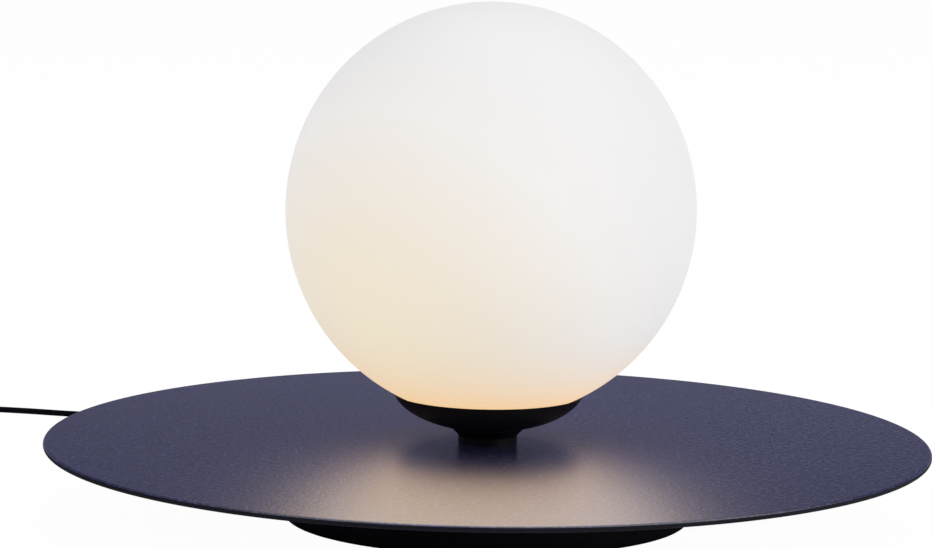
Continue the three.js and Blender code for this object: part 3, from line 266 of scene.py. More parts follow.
@dataclass(frozen=True)
class OpalGlass(Finish):
    """Blown opal glass that is lit from inside, with painted light in its glow: even and white with the
    lamps, and warmer towards a spot off the bulb.

    `glow` holds the light that it gives off at shares of the way from `near` to `far`, which are
    distances from `painted_warm_spot`, a point off the bulb on the globe's front-left lower side: painted
    warm light.
    The glow's shades also fill in the shade that the lamps leave: painted fill light. From `waist` down to
    `mouth`, which are heights, the light turns to `mouth_glow`, near the bulb.
    """

    painted_warm_spot: Point = (0.0, 0.0, 0.0)
    near: float = 0.0
    far: float = 1.0
    glow: tuple[tuple[float, str], ...] = ()
    mouth: float = 0.0
    waist: float = 1.0
    mouth_glow: str = "#ffffff"

    def dress(self, skin: Skin) -> None:
        """Links the glow to the distance from the painted warm spot and to the height, and a faint waviness
        to the gloss.

        Args:
            skin: The material that is being built.
        """
        skin.shader.inputs["Base Color"].default_value = linear(self.colour)
        skin.shader.inputs["Emission Strength"].default_value = 1.0
        slow = {"Vector": skin.coords, "Scale": 1 / self.grain, "Detail": 1.0}
        wave = add_node(skin.tree, "ShaderNodeTexNoise", slow).outputs["Fac"]
        self.gloss_by(skin, wave)
        self.relief_by(skin, wave)
        # painted warm light: the glow fades with distance from a spot off the bulb, on the globe's
        # front-left lower side
        ends = {0: skin.coords, 1: self.painted_warm_spot}
        away = add_node(skin.tree, "ShaderNodeVectorMath", ends, operation="DISTANCE").outputs["Value"]
        limits = {"Value": away, "From Min": self.near, "From Max": self.far}
        share = add_node(skin.tree, "ShaderNodeMapRange", limits).outputs["Result"]
        ramp = add_node(skin.tree, "ShaderNodeValToRGB", {"Fac": share})
        # the glow stops also lighten the globe where the lamps leave it darker: painted fill light
        set_ramp(ramp, self.glow)
        height = add_node(skin.tree, "ShaderNodeSeparateXYZ", {"Vector": skin.coords}).outputs["Z"]
        limits = {"Value": height, "From Min": self.waist, "From Max": self.mouth}
        nearness = add_node(skin.tree, "ShaderNodeMapRange", limits).outputs["Result"]
        weight = add_node(skin.tree, "ShaderNodeMath", {0: nearness, 1: 2.0}, operation="POWER")
        mixed = {"Fac": weight.outputs["Value"], "Color1": ramp.outputs["Color"]}
        mixed["Color2"] = linear(self.mouth_glow)
        warm = add_node(skin.tree, "ShaderNodeMixRGB", mixed).outputs["Color"]
        skin.tree.links.new(warm, skin.shader.inputs["Emission Color"])


@dataclass(frozen=True)
class LitFrosting(Finish):
    """Frosted glass with a burning lamp behind it."""

    strength: float = 0.9

    def dress(self, skin: Skin) -> None:
        """Adds the light to the plain finish.

        Args:
            skin: The material that is being built.
        """
        super().dress(skin)
        skin.shader.inputs["Emission Color"].default_value = linear(self.tone)
        skin.shader.inputs["Emission Strength"].default_value = self.strength


@dataclass(frozen=True)
class PowderCoat(Finish):
    """Baked powder paint: a fine pebbled skin, with lighter specks at random places: painted glints of
    raised grains.
    """

    glint_colour: str = "#ffffff"
    glint_size: float = 0.8 * MM

    def dress(self, skin: Skin) -> None:
        """Links the pebbled relief and the painted glints.

        Args:
            skin: The material that is being built.
        """
        fine = {"Vector": skin.coords, "Scale": 1 / self.grain, "Detail": 2.0}
        grain = add_node(skin.tree, "ShaderNodeTexNoise", fine).outputs["Fac"]
        # painted glints: lighter specks stand in for light caught by raised grains
        glint_spots = {"Vector": skin.coords, "Scale": 1 / self.glint_size, "Detail": 0.0}
        glints = add_node(skin.tree, "ShaderNodeTexNoise", glint_spots).outputs["Fac"]
        self.gloss_by(skin, grain)
        self.relief_by(skin, grain)
        self.colour_by(skin, glints, [(0.35, self.colour), (0.55, self.tone), (0.72, self.glint_colour)])


@dataclass(frozen=True)
class SpangledZinc(Finish):
    """Hot-dipped zinc on sheet steel, with crystals that each shine a little differently."""

    def dress(self, skin: Skin) -> None:
        """Links the crystals' tones and gloss.

        Args:
            skin: The material that is being built.
        """
        cells = {"Vector": skin.coords, "Scale": 1 / self.grain}
        crystals = add_node(skin.tree, "ShaderNodeTexVoronoi", cells).outputs["Color"]
        value = add_node(skin.tree, "ShaderNodeSeparateColor", {"Color": crystals}).outputs["Red"]
        self.colour_by(skin, value, [(0.3, self.colour), (0.75, self.tone)])
        self.gloss_by(skin, value)


# Satin opal glass scatters: it shows no bulb. Its glow holds painted light: it turns warm towards a spot off
# the bulb on the front-left, painted warm light, and it is graded so that with the lamps it renders an even
# white, painted fill light. It also warms towards the mouth, near the bulb.
OPAL_GLASS = OpalGlass(
    "opal_blown_glass", "opal_glass", "#b9b7b4", "#b9b7b4", 0.55,
    gloss_spread=0.03, shine=0.35, grain=30 * MM, relief=0.15 * MM,
    # painted warm light: a spot off the bulb, low on the front-left; the glow stops are painted fill light
    # that evens out the lamps' shade
    painted_warm_spot=(-45 * MM, -60 * MM, 105 * MM), near=15 * MM, far=165 * MM,
    glow=(
        (0.0, "#e0d4b8"), (0.2, "#ddd2bc"), (0.4, "#d9d2c5"),
        (0.6, "#d6d3cf"), (0.8, "#cececd"), (1.0, "#cccccb"),
    ),
    mouth=58 * MM, waist=105 * MM, mouth_glow="#f1c68b",
)
# Polyester powder paint, fine texture: near black with a blue cast, and a soft sheen at a low angle.
# Real grains are under half a millimetre. These are coarser, so that a low camera still sees them.
DISC_COAT = PowderCoat(
    "textured_powder_coat_blue_black", "dark_powder_coat", "#191d45", "#212652", 0.45,
    # painted glints: lighter specks for light caught by raised grains
    glint_colour="#4a508c", glint_size=2.4 * MM, grain=1.8 * MM, relief=0.2 * MM,
    gloss_spread=0.1, shine=1.0, coat=1.0, coat_roughness=0.32, coat_ior=1.9,
)
# The same powder on the disc's steep edge, darker and dull, without the skin's sheen: painted shade along
# the edge.
EDGE_SHADE_COAT = Finish(
    "powder_coat_with_painted_edge_shade", "dark_powder_coat", "#0c0d16", "#141624", 0.6,
    shine=0.3, grain=1.2 * MM, relief=0.01 * MM,
)
# Wet matt enamel on spun and turned steel: even and black.
BLACK_ENAMEL = Finish(
    "matt_black_enamel", "black_paint", "#050508", "#08080c", 0.55,
    shine=0.25, grain=0.8 * MM, relief=0.008 * MM,
)
# Bright zinc plate on turned parts: a cool, slightly cloudy metal.
ZINC_PLATE = Finish(
    "bright_zinc_plate", "zinc_plate", "#b4b7bb", "#c4c6c8", 0.32, metallic=1.0, grain=0.5 * MM
)
# Polished spring strip: brighter and warmer than the plate.
SPRING_STEEL = Finish(
    "polished_spring_steel", "spring_steel", "#c2c2bf", "#cfcecb", 0.24, metallic=1.0, grain=0.4 * MM
)
# Hot-dipped sheet: crystals about eight millimetres across.
GALVANISED = SpangledZinc(
    "galvanised_sheet", "galvanised_steel", "#9aa0a5", "#b3b7ba", 0.42, metallic=1.0, grain=8 * MM
)
# Sand-cast grey iron, unpainted: a coarse dark skin.
CAST_IRON = Finish(
    "raw_cast_iron", "cast_iron", "#3f4042", "#565452", 0.75, metallic=0.8, grain=1.6 * MM, relief=0.15 * MM
)
# Moulded nitrile rubber: dull and slightly dusty.
BLACK_RUBBER = Finish(
    "moulded_rubber", "black_rubber", "#151517", "#1e1e20", 0.82, grain=0.7 * MM, relief=0.03 * MM
)
# Cast silicone: milky and soft.
SILICONE = Finish("cast_silicone", "silicone", "#d8d5ce", "#e2dfd9", 0.5, grain=1.5 * MM)
# Fired steatite: off-white, with the faint tooth of pressed ceramic.
STEATITE = Finish("fired_steatite", "white_ceramic", "#e9e5da", "#f0ede4", 0.42, grain=0.5 * MM)
# Frosted capsule round a burning element: warm, and even from edge to edge.
FROSTED_GLASS = LitFrosting(
    "sandblasted_capsule_glass", "frosted_glass", "#efece6", "#ffdcb0", 0.5, grain=0.5 * MM, relief=0.01 * MM
)
# Moulded polyamide of a terminal block: a plain, slightly waxy white.
WHITE_NYLON = Finish("moulded_nylon", "white_plastic", "#e9e6df", "#f1eee8", 0.5, grain=0.8 * MM)
# Spark-eroded texture on black ABS: fine, even and matt.
BLACK_ABS = Finish(
    "textured_black_abs", "black_plastic", "#101217", "#171920", 0.52, grain=0.55 * MM, relief=0.035 * MM
)
# Extruded soft PVC: satin, with slow waves along its length.
CORD_PVC = Finish(
    "extruded_black_pvc", "cord_jacket", "#06080f", "#0b0d16", 0.6, shine=0.1, grain=5 * MM, relief=0.04 * MM
)
# Insulation of the live lead: the same PVC in a plain red.
RED_PVC = Finish("extruded_red_pvc", "red_insulation", "#861a1a", "#9a2424", 0.45, grain=3 * MM)
# Glass-fibre board under green lacquer: smooth and a little wet.
BOARD_LAMINATE = Finish(
    "lacquered_glass_laminate", "circuit_board", "#174a2d", "#1f6039", 0.35, grain=0.4 * MM
)
# Nickel plate on brass pins: bright, with a yellowish cast.
NICKEL_PLATE = Finish(
    "bright_nickel_plate", "nickel_plate", "#cfcbc2", "#d8d5ce", 0.2, metallic=1.0, grain=0.5 * MM
)


# Modelling


def activate(obj: Object | None = None) -> None:
    """Leaves edit mode, deselects everything, and selects and activates an object if there is one.

    Args:
        obj: The object, if there is one.
    """
    if bpy.context.object and bpy.context.object.mode != "OBJECT":
        bpy.ops.object.mode_set(mode="OBJECT")
    bpy.ops.object.select_all(action="DESELECT")
    if obj:
        obj.select_set(True)
        bpy.context.view_layer.objects.active = obj


def add_object(name: str, data: bpy.types.ID) -> Object:
    """Puts an object with its data into the scene.

    Args:
        name: The object's name.
        data: Its mesh, curve, lamp or camera.

    Returns:
        The object.
    """
    made = bpy.data.objects.new(name, data)
    bpy.context.collection.objects.link(made)
    return made


def hand_over(obj: Object, slot: str, body: Body, *nodes: str) -> None:
    """Attaches an object to its body, hides the CAD nodes that it stands for, and logs them.

    Args:
        obj: The finished object.
        slot: The record's material slot; not used.
        body: The body that it moves with.
        nodes: The CAD nodes that it replaces.
    """
    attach(obj, body.value)
    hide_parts(*nodes)
    log.info("%s: rides on %s, in place of %s", obj.name, body.value, ", ".join(nodes))


def arc(centre: tuple[float, float], radius: float, start: float, end: float, steps: int) -> Outline:
    """Lays out an arc.

    Args:
        centre: The arc's centre, as radius and height.
        radius: Its radius.
        start: Its first angle, in quarter turns from level.
        end: Its last angle.
        steps: How many steps it takes.

    Returns:
        The arc's points.
    """
    angles = [QUARTER * (start + (end - start) * i / steps) for i in range(steps + 1)]
    return [(centre[0] + radius * math.cos(a), centre[1] + radius * math.sin(a)) for a in angles]


class Workpiece:
    """One mesh, shaped with edit-mode tools and finished with applied modifiers."""

    def __init__(self, name: str) -> None:
        """Takes the object that was just added, and puts its place into its mesh.

        Args:
            name: The piece's name.
        """
        self.obj = bpy.context.active_object
        self.obj.name = name
        self.obj.data.name = name
        self.settle()

    @classmethod
    def cylinder(
        cls,
        name: str,
        radius: float,
        low: float,
        high: float,
        sides: int = 64,
        at: tuple[float, float] = (0, 0),
    ) -> "Workpiece":
        """Adds an upright cylinder between two heights.

        Args:
            name: The piece's name.
            radius: Its radius.
            low: The height of its lower end.
            high: The height of its upper end.
            sides: How many sides it has.
            at: Where its axis stands.

        Returns:
            The cylinder.
        """
        activate()
        place = (*at, (low + high) / 2)
        depth = high - low
        bpy.ops.mesh.primitive_cylinder_add(vertices=sides, radius=radius, depth=depth, location=place)
        return cls(name)

    @classmethod
    def block(cls, name: str, low: Sequence[float], high: Sequence[float]) -> "Workpiece":
        """Adds a block between two corners.

        Args:
            name: The piece's name.
            low: Its lowest corner.
            high: Its highest corner.

        Returns:
            The block.
        """
        activate()
        size = Vector(high) - Vector(low)
        middle = (Vector(high) + Vector(low)) / 2
        bpy.ops.mesh.primitive_cube_add(size=1, location=middle, scale=size)
        return cls(name)

    @classmethod
    def turned(cls, name: str, outline: Outline, steps: int = 96) -> "Workpiece":
        """Extrudes one point along an outline and spins the line round the upright axis.

        Args:
            name: The piece's name.
            outline: Radius and height of each point, from axis to axis or once round a section.
            steps: How many steps the spin takes.

        Returns:
            The turned piece.
        """
        activate()
        first = outline[0]
        bpy.ops.mesh.primitive_plane_add(size=first[0] or MM, location=(first[0], 0, first[1]))
        piece = cls(name)
        path = outline if first[0] == 0 else [*outline, first]
        with piece.editing():
            bpy.ops.mesh.select_mode(type="VERT")
            bpy.ops.mesh.select_all(action="SELECT")
            bpy.ops.mesh.merge(type="CENTER")
            for before, after in pairwise(path):
                step = (after[0] - before[0], 0, after[1] - before[1])
                bpy.ops.mesh.extrude_region_move(TRANSFORM_OT_translate={"value": step})
            bpy.ops.mesh.select_all(action="SELECT")
            bpy.ops.mesh.spin(steps=steps, angle=2 * math.pi, center=(0, 0, 0), axis=(0, 0, 1))
            bpy.ops.mesh.select_all(action="SELECT")
            bpy.ops.mesh.remove_doubles(threshold=WELD)
            bpy.ops.mesh.normals_make_consistent(inside=False)
        return piece

    @classmethod
    def from_node(cls, node: str) -> "Workpiece":
        """Copies a CAD piece's mesh, merged and with its flat faces whole again.

        Args:
            node: The CAD node.

        Returns:
            The copy.
        """
        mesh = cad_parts[node].data.copy()
        mesh.materials.clear()
        activate(add_object(node, mesh))
        piece = cls(node + "_finished")
        with piece.editing():
            bpy.ops.mesh.select_all(action="SELECT")
            bpy.ops.mesh.remove_doubles(threshold=WELD)
            bpy.ops.mesh.dissolve_limited(angle_limit=FLAT)
        return piece

    def settle(self) -> None:
        """Puts the object's place and turn into its mesh."""
        activate(self.obj)
        bpy.ops.object.transform_apply(location=True, rotation=True, scale=True)

    def place(self, at: Point, tip: float = 0.0) -> "Workpiece":
        """Tips the piece about the X axis and then moves it.

        Args:
            at: How far it is moved.
            tip: The angle that it is tipped by.

        Returns:
            This piece.
        """
        self.obj.rotation_euler = (tip, 0, 0)
        self.obj.location = at
        self.settle()
        return self

    def spread(self, places: dict[str, Point]) -> list["Workpiece"]:
        """Puts a copy with its own mesh at each named place, and uses the piece itself up.

        Args:
            places: Each copy's name and place.

        Returns:
            The copies.
        """
        copies = []
        for name, at in places.items():
            activate(add_object(name, self.obj.data.copy()))
            copies.append(Workpiece(name).place(at))
        bpy.data.objects.remove(self.obj)
        return copies

    @contextmanager
    def editing(self) -> Iterator[None]:
        """Works on the piece in edit mode.

        Yields:
            Nothing, while the piece is in edit mode.
        """
        activate(self.obj)
        bpy.ops.object.mode_set(mode="EDIT")
        yield
        bpy.ops.object.mode_set(mode="OBJECT")

    def select(self, element: Element, test: Test) -> bool:
        """Selects the edges or faces that pass a test.

        Args:
            element: What is selected.
            test: Tells what is wanted.

        Returns:
            Whether anything was.
        """
        bpy.ops.mesh.select_mode(type=element.value)
        bpy.ops.mesh.select_all(action="DESELECT")
        shape = bmesh.from_edit_mesh(self.obj.data)
        wanted = [item for item in (shape.edges if element is Element.EDGE else shape.faces) if test(item)]
        for item in wanted:
            item.select_set(True)
        bmesh.update_edit_mesh(self.obj.data)
        return bool(wanted)

    def bevel(self, test: Test, width: float, segments: int = 3) -> "Workpiece":
        """Rounds the edges that pass a test.

        Args:
            test: Tells which edges are wanted.
            width: The round's width.
            segments: How many steps it has.

        Returns:
            This piece.
        """
        with self.editing():
            if self.select(Element.EDGE, test):
                bpy.ops.mesh.bevel(offset=width, segments=segments, affect="EDGES")
        return self

    def open_up(self, test: Test) -> "Workpiece":
        """Deletes the faces that pass a test and leaves the piece open there.

        Args:
            test: Tells which faces go.

        Returns:
            This piece.
        """
        with self.editing():
            self.select(Element.FACE, test)
            bpy.ops.mesh.delete(type="FACE")
        return self

    def modify(self, kind: str, **settings: object) -> "Workpiece":
        """Adds a modifier and applies it.

        Args:
            kind: The modifier's type.
            settings: Its settings, by name.

        Returns:
            This piece.
        """
        modifier = self.obj.modifiers.new(kind.lower(), kind)
        for name, value in settings.items():
            setattr(modifier, name, value)
        activate(self.obj)
        bpy.ops.object.modifier_apply(modifier=modifier.name)
        return self

    def combine(self, operation: str, *tools: "Workpiece") -> "Workpiece":
        """Combines other pieces with this one, uses them up, and merges points in one place.

        Args:
            operation: The boolean operation.
            tools: The other pieces, in order.

        Returns:
            This piece.
        """
        for tool in tools:
            self.modify("BOOLEAN", object=tool.obj, operation=operation, solver="EXACT")
            bpy.data.objects.remove(tool.obj)
        with self.editing():
            bpy.ops.mesh.select_all(action="SELECT")
            bpy.ops.mesh.remove_doubles(threshold=WELD)
            bpy.ops.mesh.dissolve_degenerate(threshold=WELD)
        return self

    def cut(self, *tools: "Workpiece") -> "Workpiece":
        """Cuts other pieces out of this one."""
        return self.combine("DIFFERENCE", *tools)

    def join(self, *others: "Workpiece") -> "Workpiece":
        """Joins other pieces to this one."""
        return self.combine("UNION", *others)

    def drill(
        self, radius: float, low: float, high: float, sides: int = 24, at: tuple[float, float] = (0, 0)
    ) -> "Workpiece":
        """Cuts an upright round hole between two heights."""
        return self.cut(Workpiece.cylinder("drill", radius, low, high, sides, at))

    def bore(
        self, radius: float, near: float, far: float, at: tuple[float, float], sides: int = 32
    ) -> "Workpiece":
        """Cuts a round hole along Y between two places, at an X and a height."""
        tool = Workpiece.cylinder("bore", radius, -far, -near, sides)
        return self.cut(tool.place((at[0], 0, at[1]), QUARTER))

    def break_edges(self, width: float) -> "Workpiece":
        """Takes the sharpness off every edge."""
        settings = {"segments": 2, "limit_method": "ANGLE", "angle_limit": SMOOTH_ANGLE}
        return self.modify("BEVEL", width=width, **settings)

    def finish(self, finish: Finish, node: str, body: Body = Body.LAMP) -> Object:
        """Dresses the piece and hands it over in place of a CAD node.

        Args:
            finish: The surface finish.
            node: The CAD node that it stands for.
            body: The body that it moves with.

        Returns:
            The finished object.
        """
        activate(self.obj)
        bpy.ops.object.shade_smooth_by_angle(angle=SMOOTH_ANGLE)
        self.obj.data.materials.clear()
        self.obj.data.materials.append(finish.material())
        hand_over(self.obj, finish.slot, body, node)
        return self.obj


def square_to(axis: Axis, place: float) -> Test:
    """Returns a test for edges and faces that lie square to an axis, at a place along it."""
    return lambda item: all(abs(v.co[axis.value] - place) < SAME_PLACE for v in item.verts)


def along(axis: Axis) -> Test:
    """Returns a test for edges that run along an axis."""
    others = [i for i in range(3) if i != axis.value]
    return lambda e: all(abs(e.verts[0].co[i] - e.verts[1].co[i]) < SAME_PLACE for i in others)


def ring_at(height: float, radius: float) -> Test:
    """Returns a test for edges on a circle round the upright axis."""
    level = square_to(Axis.Z, height)
    return lambda e: level(e) and all(abs(v.co.xy.length - radius) < ON_RING for v in e.verts)


def middle_of(node: str) -> Vector:
    """Returns the middle of a CAD node."""
    low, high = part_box(node)
    return (low + high) / 2


def low_of(node: str) -> Vector:
    """Returns the lowest corner of a CAD node."""
    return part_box(node)[0]


def high_of(node: str) -> Vector:
    """Returns the highest corner of a CAD node."""
    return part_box(node)[1]


def keep_node(node: str, finish: Finish) -> None:
    """Dresses a CAD piece whose shape is right as it is."""
    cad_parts[node].data.materials.clear()
    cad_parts[node].data.materials.append(finish.material())


def refine(node: str, finish: Finish, edge: float = 0.12 * MM) -> None:
    """Shows a CAD piece with smooth rounds and broken edges."""
    Workpiece.from_node(node).break_edges(edge).finish(finish, node)


# Studio


@dataclass
class Studio:
    """Camera, floor, surroundings and lamps."""

    camera_place: Point = (0.0, -2.5, 0.4854)
    pitch: float = math.radians(8.291)
    pan: float = math.radians(-0.269)
    roll: float = math.radians(0.852)
    lens: float = 200.27
    sensor: float = 36.0
    floor_size: float = 80.0
    floor_colour: str = "#f4f4f4"
    floor_share: float = 0.08  # how much of the floor's white is reflected light
    floor_glow: float = 1.06  # makes up for the light that the floor's far parts go without
    # The room that the glossy disc mirrors, from straight down to straight up.
    room: tuple[tuple[float, str], ...] = (
        (0.0, "#bcbdd9"),
        (0.08, "#9597b3"),
        (0.17, "#14163f"),
        (0.3, "#272959"),
        (0.55, "#121430"),
        (1.0, "#58585e"),
    )
    backdrop_share: float = 0.03  # how much of the white background a mirrored ray meets
    aim: Point = (0.0, 0.0, 0.12)
    lamps: tuple[tuple[str, Point, float, float], ...] = (  # name, place, size and power
        ("key_softbox", (2.2, -1.0, 1.4), 2.6, 27.0),
        ("fill_softbox", (-1.6, -1.5, 1.6), 1.4, 8.0),
        ("top_softbox", (0.1, 0.3, 2.4), 2.2, 15.0),
    )
    # The lit globe's light on the disc: wider than the globe, as far as the coat's haze spreads it.
    glow_radius: float = 0.128
    glow_place: Point = (0.0, 0.0, 0.179)
    glow_power: float = 0.357
    glow_colour: str = "#ffd7b8"

    def build(self) -> None:
        """Sets up the whole studio."""
        self.add_camera()
        self.add_floor()
        self.add_surroundings()
        for name, place, size, power in self.lamps:
            lamp = self.hang(name, "AREA", place, power)
            lamp.data.size = size
            lamp.rotation_euler = (Vector(self.aim) - lamp.location).to_track_quat("-Z", "Y").to_euler()
        bpy.context.scene.view_settings.view_transform = "Standard"

    def add_camera(self) -> None:
        """Puts the camera where the photograph was taken from."""
        data = bpy.data.cameras.new("camera")
        data.lens = self.lens
        data.sensor_width = self.sensor
        data.clip_end = self.floor_size
        camera = add_object("camera", data)
        camera.matrix_world = (
            Matrix.Translation(self.camera_place)
            @ Matrix.Rotation(-self.pan, 4, "Z")
            @ Matrix.Rotation(QUARTER - self.pitch, 4, "X")
            @ Matrix.Rotation(self.roll, 4, "Z")
        )
        bpy.context.scene.camera = camera

    def add_floor(self) -> None:
        """Lays a white table top that keeps the lamp's shadow."""
        activate()
        bpy.ops.mesh.primitive_plane_add(size=self.floor_size)
        floor = bpy.context.active_object
        floor.name = "table_top"
        white = bpy.data.materials.new("white_table_top")
        white.use_nodes = True
        tree = white.node_tree
        tree.nodes.remove(tree.nodes["Principled BSDF"])
        seen = add_node(tree, "ShaderNodeLightPath", {}).outputs["Is Camera Ray"]
        share = add_node(tree, "ShaderNodeMath", {0: seen, 1: 1 - self.floor_share}, operation="MULTIPLY")
        lit = add_node(tree, "ShaderNodeBsdfDiffuse", {"Color": linear(self.floor_colour)})
        glow = add_node(
            tree, "ShaderNodeEmission", {"Color": linear("#ffffff"), "Strength": self.floor_glow}
        )
        mix = add_node(
            tree,
            "ShaderNodeMixShader",
            {0: share.outputs["Value"], 1: lit.outputs["BSDF"], 2: glow.outputs["Emission"]},
        )
        tree.links.new(mix.outputs["Shader"], tree.nodes["Material Output"].inputs["Surface"])
        floor.data.materials.append(white)

    def add_surroundings(self) -> None:
        """Makes a darkened room with a soft ceiling, in front of which the camera sees plain white."""
        world = bpy.data.worlds.new("studio")
        world.use_nodes = True
        bpy.context.scene.world = world
        tree = world.node_tree
        tree.nodes.clear()
        direction = add_node(tree, "ShaderNodeTexCoord", {}).outputs["Generated"]
        height = add_node(tree, "ShaderNodeSeparateXYZ", {"Vector": direction}).outputs["Z"]
        ramp = add_node(tree, "ShaderNodeValToRGB", {"Fac": height})
        set_ramp(ramp, self.room)
        room = add_node(tree, "ShaderNodeBackground", {"Color": ramp.outputs["Color"]})
        white = add_node(tree, "ShaderNodeBackground", {"Color": linear("#ffffff")})
        ray = add_node(tree, "ShaderNodeLightPath", {}).outputs
        clear = {0: ray["Is Camera Ray"], 1: ray["Is Transmission Ray"]}
        mirrored = {0: ray["Is Glossy Ray"], 1: self.backdrop_share}
        parts = {
            0: add_node(tree, "ShaderNodeMath", clear, operation="MAXIMUM").outputs["Value"],
            1: add_node(tree, "ShaderNodeMath", mirrored, operation="MULTIPLY").outputs["Value"],
        }
        share = add_node(tree, "ShaderNodeMath", parts, operation="MAXIMUM")
        mix = add_node(
            tree,
            "ShaderNodeMixShader",
            {0: share.outputs["Value"], 1: room.outputs["Background"], 2: white.outputs["Background"]},
        )
        out = add_node(tree, "ShaderNodeOutputWorld", {"Surface": mix.outputs["Shader"]})
        out.is_active_output = True

    def hang(self, name: str, kind: str, place: Point, power: float) -> Object:
        """Hangs a lamp that the camera doesn't see.

        Args:
            name: The lamp's name.
            kind: Its type.
            place: Where it hangs.
            power: Its power.

        Returns:
            The lamp.
        """
        lamp = add_object(name, bpy.data.lights.new(name, kind))
        lamp.data.energy = power
        lamp.location = place
        lamp.visible_camera = False
        return lamp

    def add_glow(self, disc: Object) -> None:
        """Lights the disc as the lit globe does, beyond what white in a picture can show.

        Args:
            disc: The finished disc.
        """
        lamp = self.hang("globe_glow", "POINT", self.glow_place, self.glow_power)
        lamp.data.shadow_soft_size = self.glow_radius
        lamp.data.use_soft_falloff = False
        lamp.data.color = linear(self.glow_colour)[:3]
        lit = bpy.data.collections.new("lit_by_globe")
        lit.objects.link(disc)
        lamp.light_linking.receiver_collection = lit


# Cord set


@dataclass
class CordSet:
    """The free cord in its two lengths, with the coil's tie."""

    radius: float = 1.6 * MM
    coil_turns: int = 10
    coil_layers: int = 4
    coil_pitch: float = 3.68 * MM
    coil_middle: float = 19.2 * MM
    coil_steps: int = 28
    first_length: float = 0.44
    second_length: float = 1.41
    tie_band: float = 0.5 * MM
    tie_corner: float = 1.7 * MM
    tie_broken: float = 0.1 * MM
    # From the gland to the dimmer, as it lies on the table.
    run: tuple[Point, ...] = (
        (0, 0.120, 0.0088),
        (0, 0.1265, 0.0088),
        (0, 0.131, 0.0085),
        (-0.001, 0.145, 0.0058),
        (-0.004, 0.162, 0.003),
        (-0.011, 0.181, 0.0019),
        (-0.026, 0.203, 0.00175),
        (-0.050, 0.223, 0.0017),
        (-0.082, 0.239, 0.0017),
        (-0.118, 0.250, 0.0017),
        (-0.155, 0.257, 0.0017),
        (-0.192, 0.263, 0.0017),
        (-0.227, 0.2705, 0.0017),
        (-0.254, 0.278, 0.0017),
        (-0.279, 0.2821, 0.00175),
        (-0.299, 0.2795, 0.0021),
        (-0.3105, 0.2695, 0.0037),
        (-0.314, 0.2615, 0.006),
        (-0.314, 0.2563, 0.007),
        (-0.314, 0.245, 0.007),
        (-0.314, 0.234, 0.007),
        (-0.3120, 0.2308, 0.007),
        (-0.3096, 0.2272, 0.007),
        (-0.3092, 0.2222, 0.007),
    )
    # From inside the dimmer to the coil.
    link: tuple[Point, ...] = (
        (-0.314, 0.1685, 0.007),
        (-0.314, 0.156, 0.007),
        (-0.314, 0.1437, 0.007),
        (-0.314, 0.1405, 0.007),
        (-0.314, 0.1238, 0.0047),
        (-0.314, 0.107, 0.0024),
    )
    # From the coil into the adapter.
    tail: tuple[Point, ...] = (
        (-0.314, 0.086, 0.0128),
        (-0.314, 0.076, 0.0086),
        (-0.314, 0.067, 0.0042),
        (-0.314, 0.058, 0.0021),
        (-0.314, 0.049, 0.0021),
        (-0.314, 0.040, 0.0044),
        (-0.314, 0.031, 0.0096),
        (-0.314, 0.0235, 0.0138),
        (-0.314, 0.0173, 0.015),
        (-0.314, 0.0, 0.015),
        (-0.314, -0.020, 0.015),
    )

    def build(self, dimmer: list[Object], adapter: list[Object]) -> None:
        """Lays both lengths of cord.

        Args:
            dimmer: The dimmer's pieces; not used.
            adapter: The adapter's pieces; not used.
        """
        gland = Gland().build()
        tie = self.make_tie()
        relief = StrainRelief("dimmer_relief_out", -1).build()
        first = self.lay_cord("cord_from_lamp", self.run, "cord_run")
        route = [*self.link, *self.coil(), *self.tail]
        second = self.lay_cord("cord_to_adapter", route, "cord_link", "cord_coil", "cord_tail")

    def coil(self) -> list[Point]:
        """Lays out the coil: it spirals in and out by turns, and climbs a layer each time.

        Returns:
            The coil's points, from the link to the tail.
        """
        per_layer = self.coil_turns / self.coil_layers
        outer = self.coil_middle + self.coil_pitch * per_layer / 2
        middle_x = self.link[-1][0] + outer
        middle_y = middle_of("cord_coil").y
        points = []
        for i in range(self.coil_turns * self.coil_steps + 1):
            turns = i / self.coil_steps
            layer = min(int(turns / per_layer), self.coil_layers - 1)
            within = turns - layer * per_layer
            inward = within if layer % 2 == 0 else per_layer - within
            climbs = [2 * (turns - k * per_layer) + 0.5 for k in range(1, self.coil_layers)]
            height = self.link[-1][2] + self.coil_pitch * sum(min(max(c, 0.0), 1.0) for c in climbs)
            radius = outer - self.coil_pitch * inward
            angle = math.pi + 2 * math.pi * turns
            x, y = middle_x + radius * math.cos(angle), middle_y + radius * math.sin(angle)
            points.append((x, y, height))
        return points

    def lay_cord(self, name: str, points: Sequence[Point], *nodes: str) -> Object:
        """Lays one length of cord through a row of points, in place of its CAD nodes.

        Args:
            name: The cord's name.
            points: The points that it passes through.
            nodes: The CAD nodes that it stands for.

        Returns:
            The cord.
        """
        curve = bpy.data.curves.new(name, "CURVE")
        curve.dimensions = "3D"
        curve.bevel_depth = self.radius
        curve.bevel_resolution = 4
        curve.resolution_u = 6
        curve.render_resolution_u = 6
        curve.use_fill_caps = True
        spline = curve.splines.new("BEZIER")
        spline.bezier_points.add(len(points) - 1)
        for knot, place in zip(spline.bezier_points, points):
            knot.co = place
            knot.handle_left_type = "AUTO"
            knot.handle_right_type = "AUTO"
        curve.materials.append(CORD_PVC.material())
        cord = add_object(name, curve)
        hand_over(cord, CORD_PVC.slot, Body.LAMP, *nodes)
        return cord

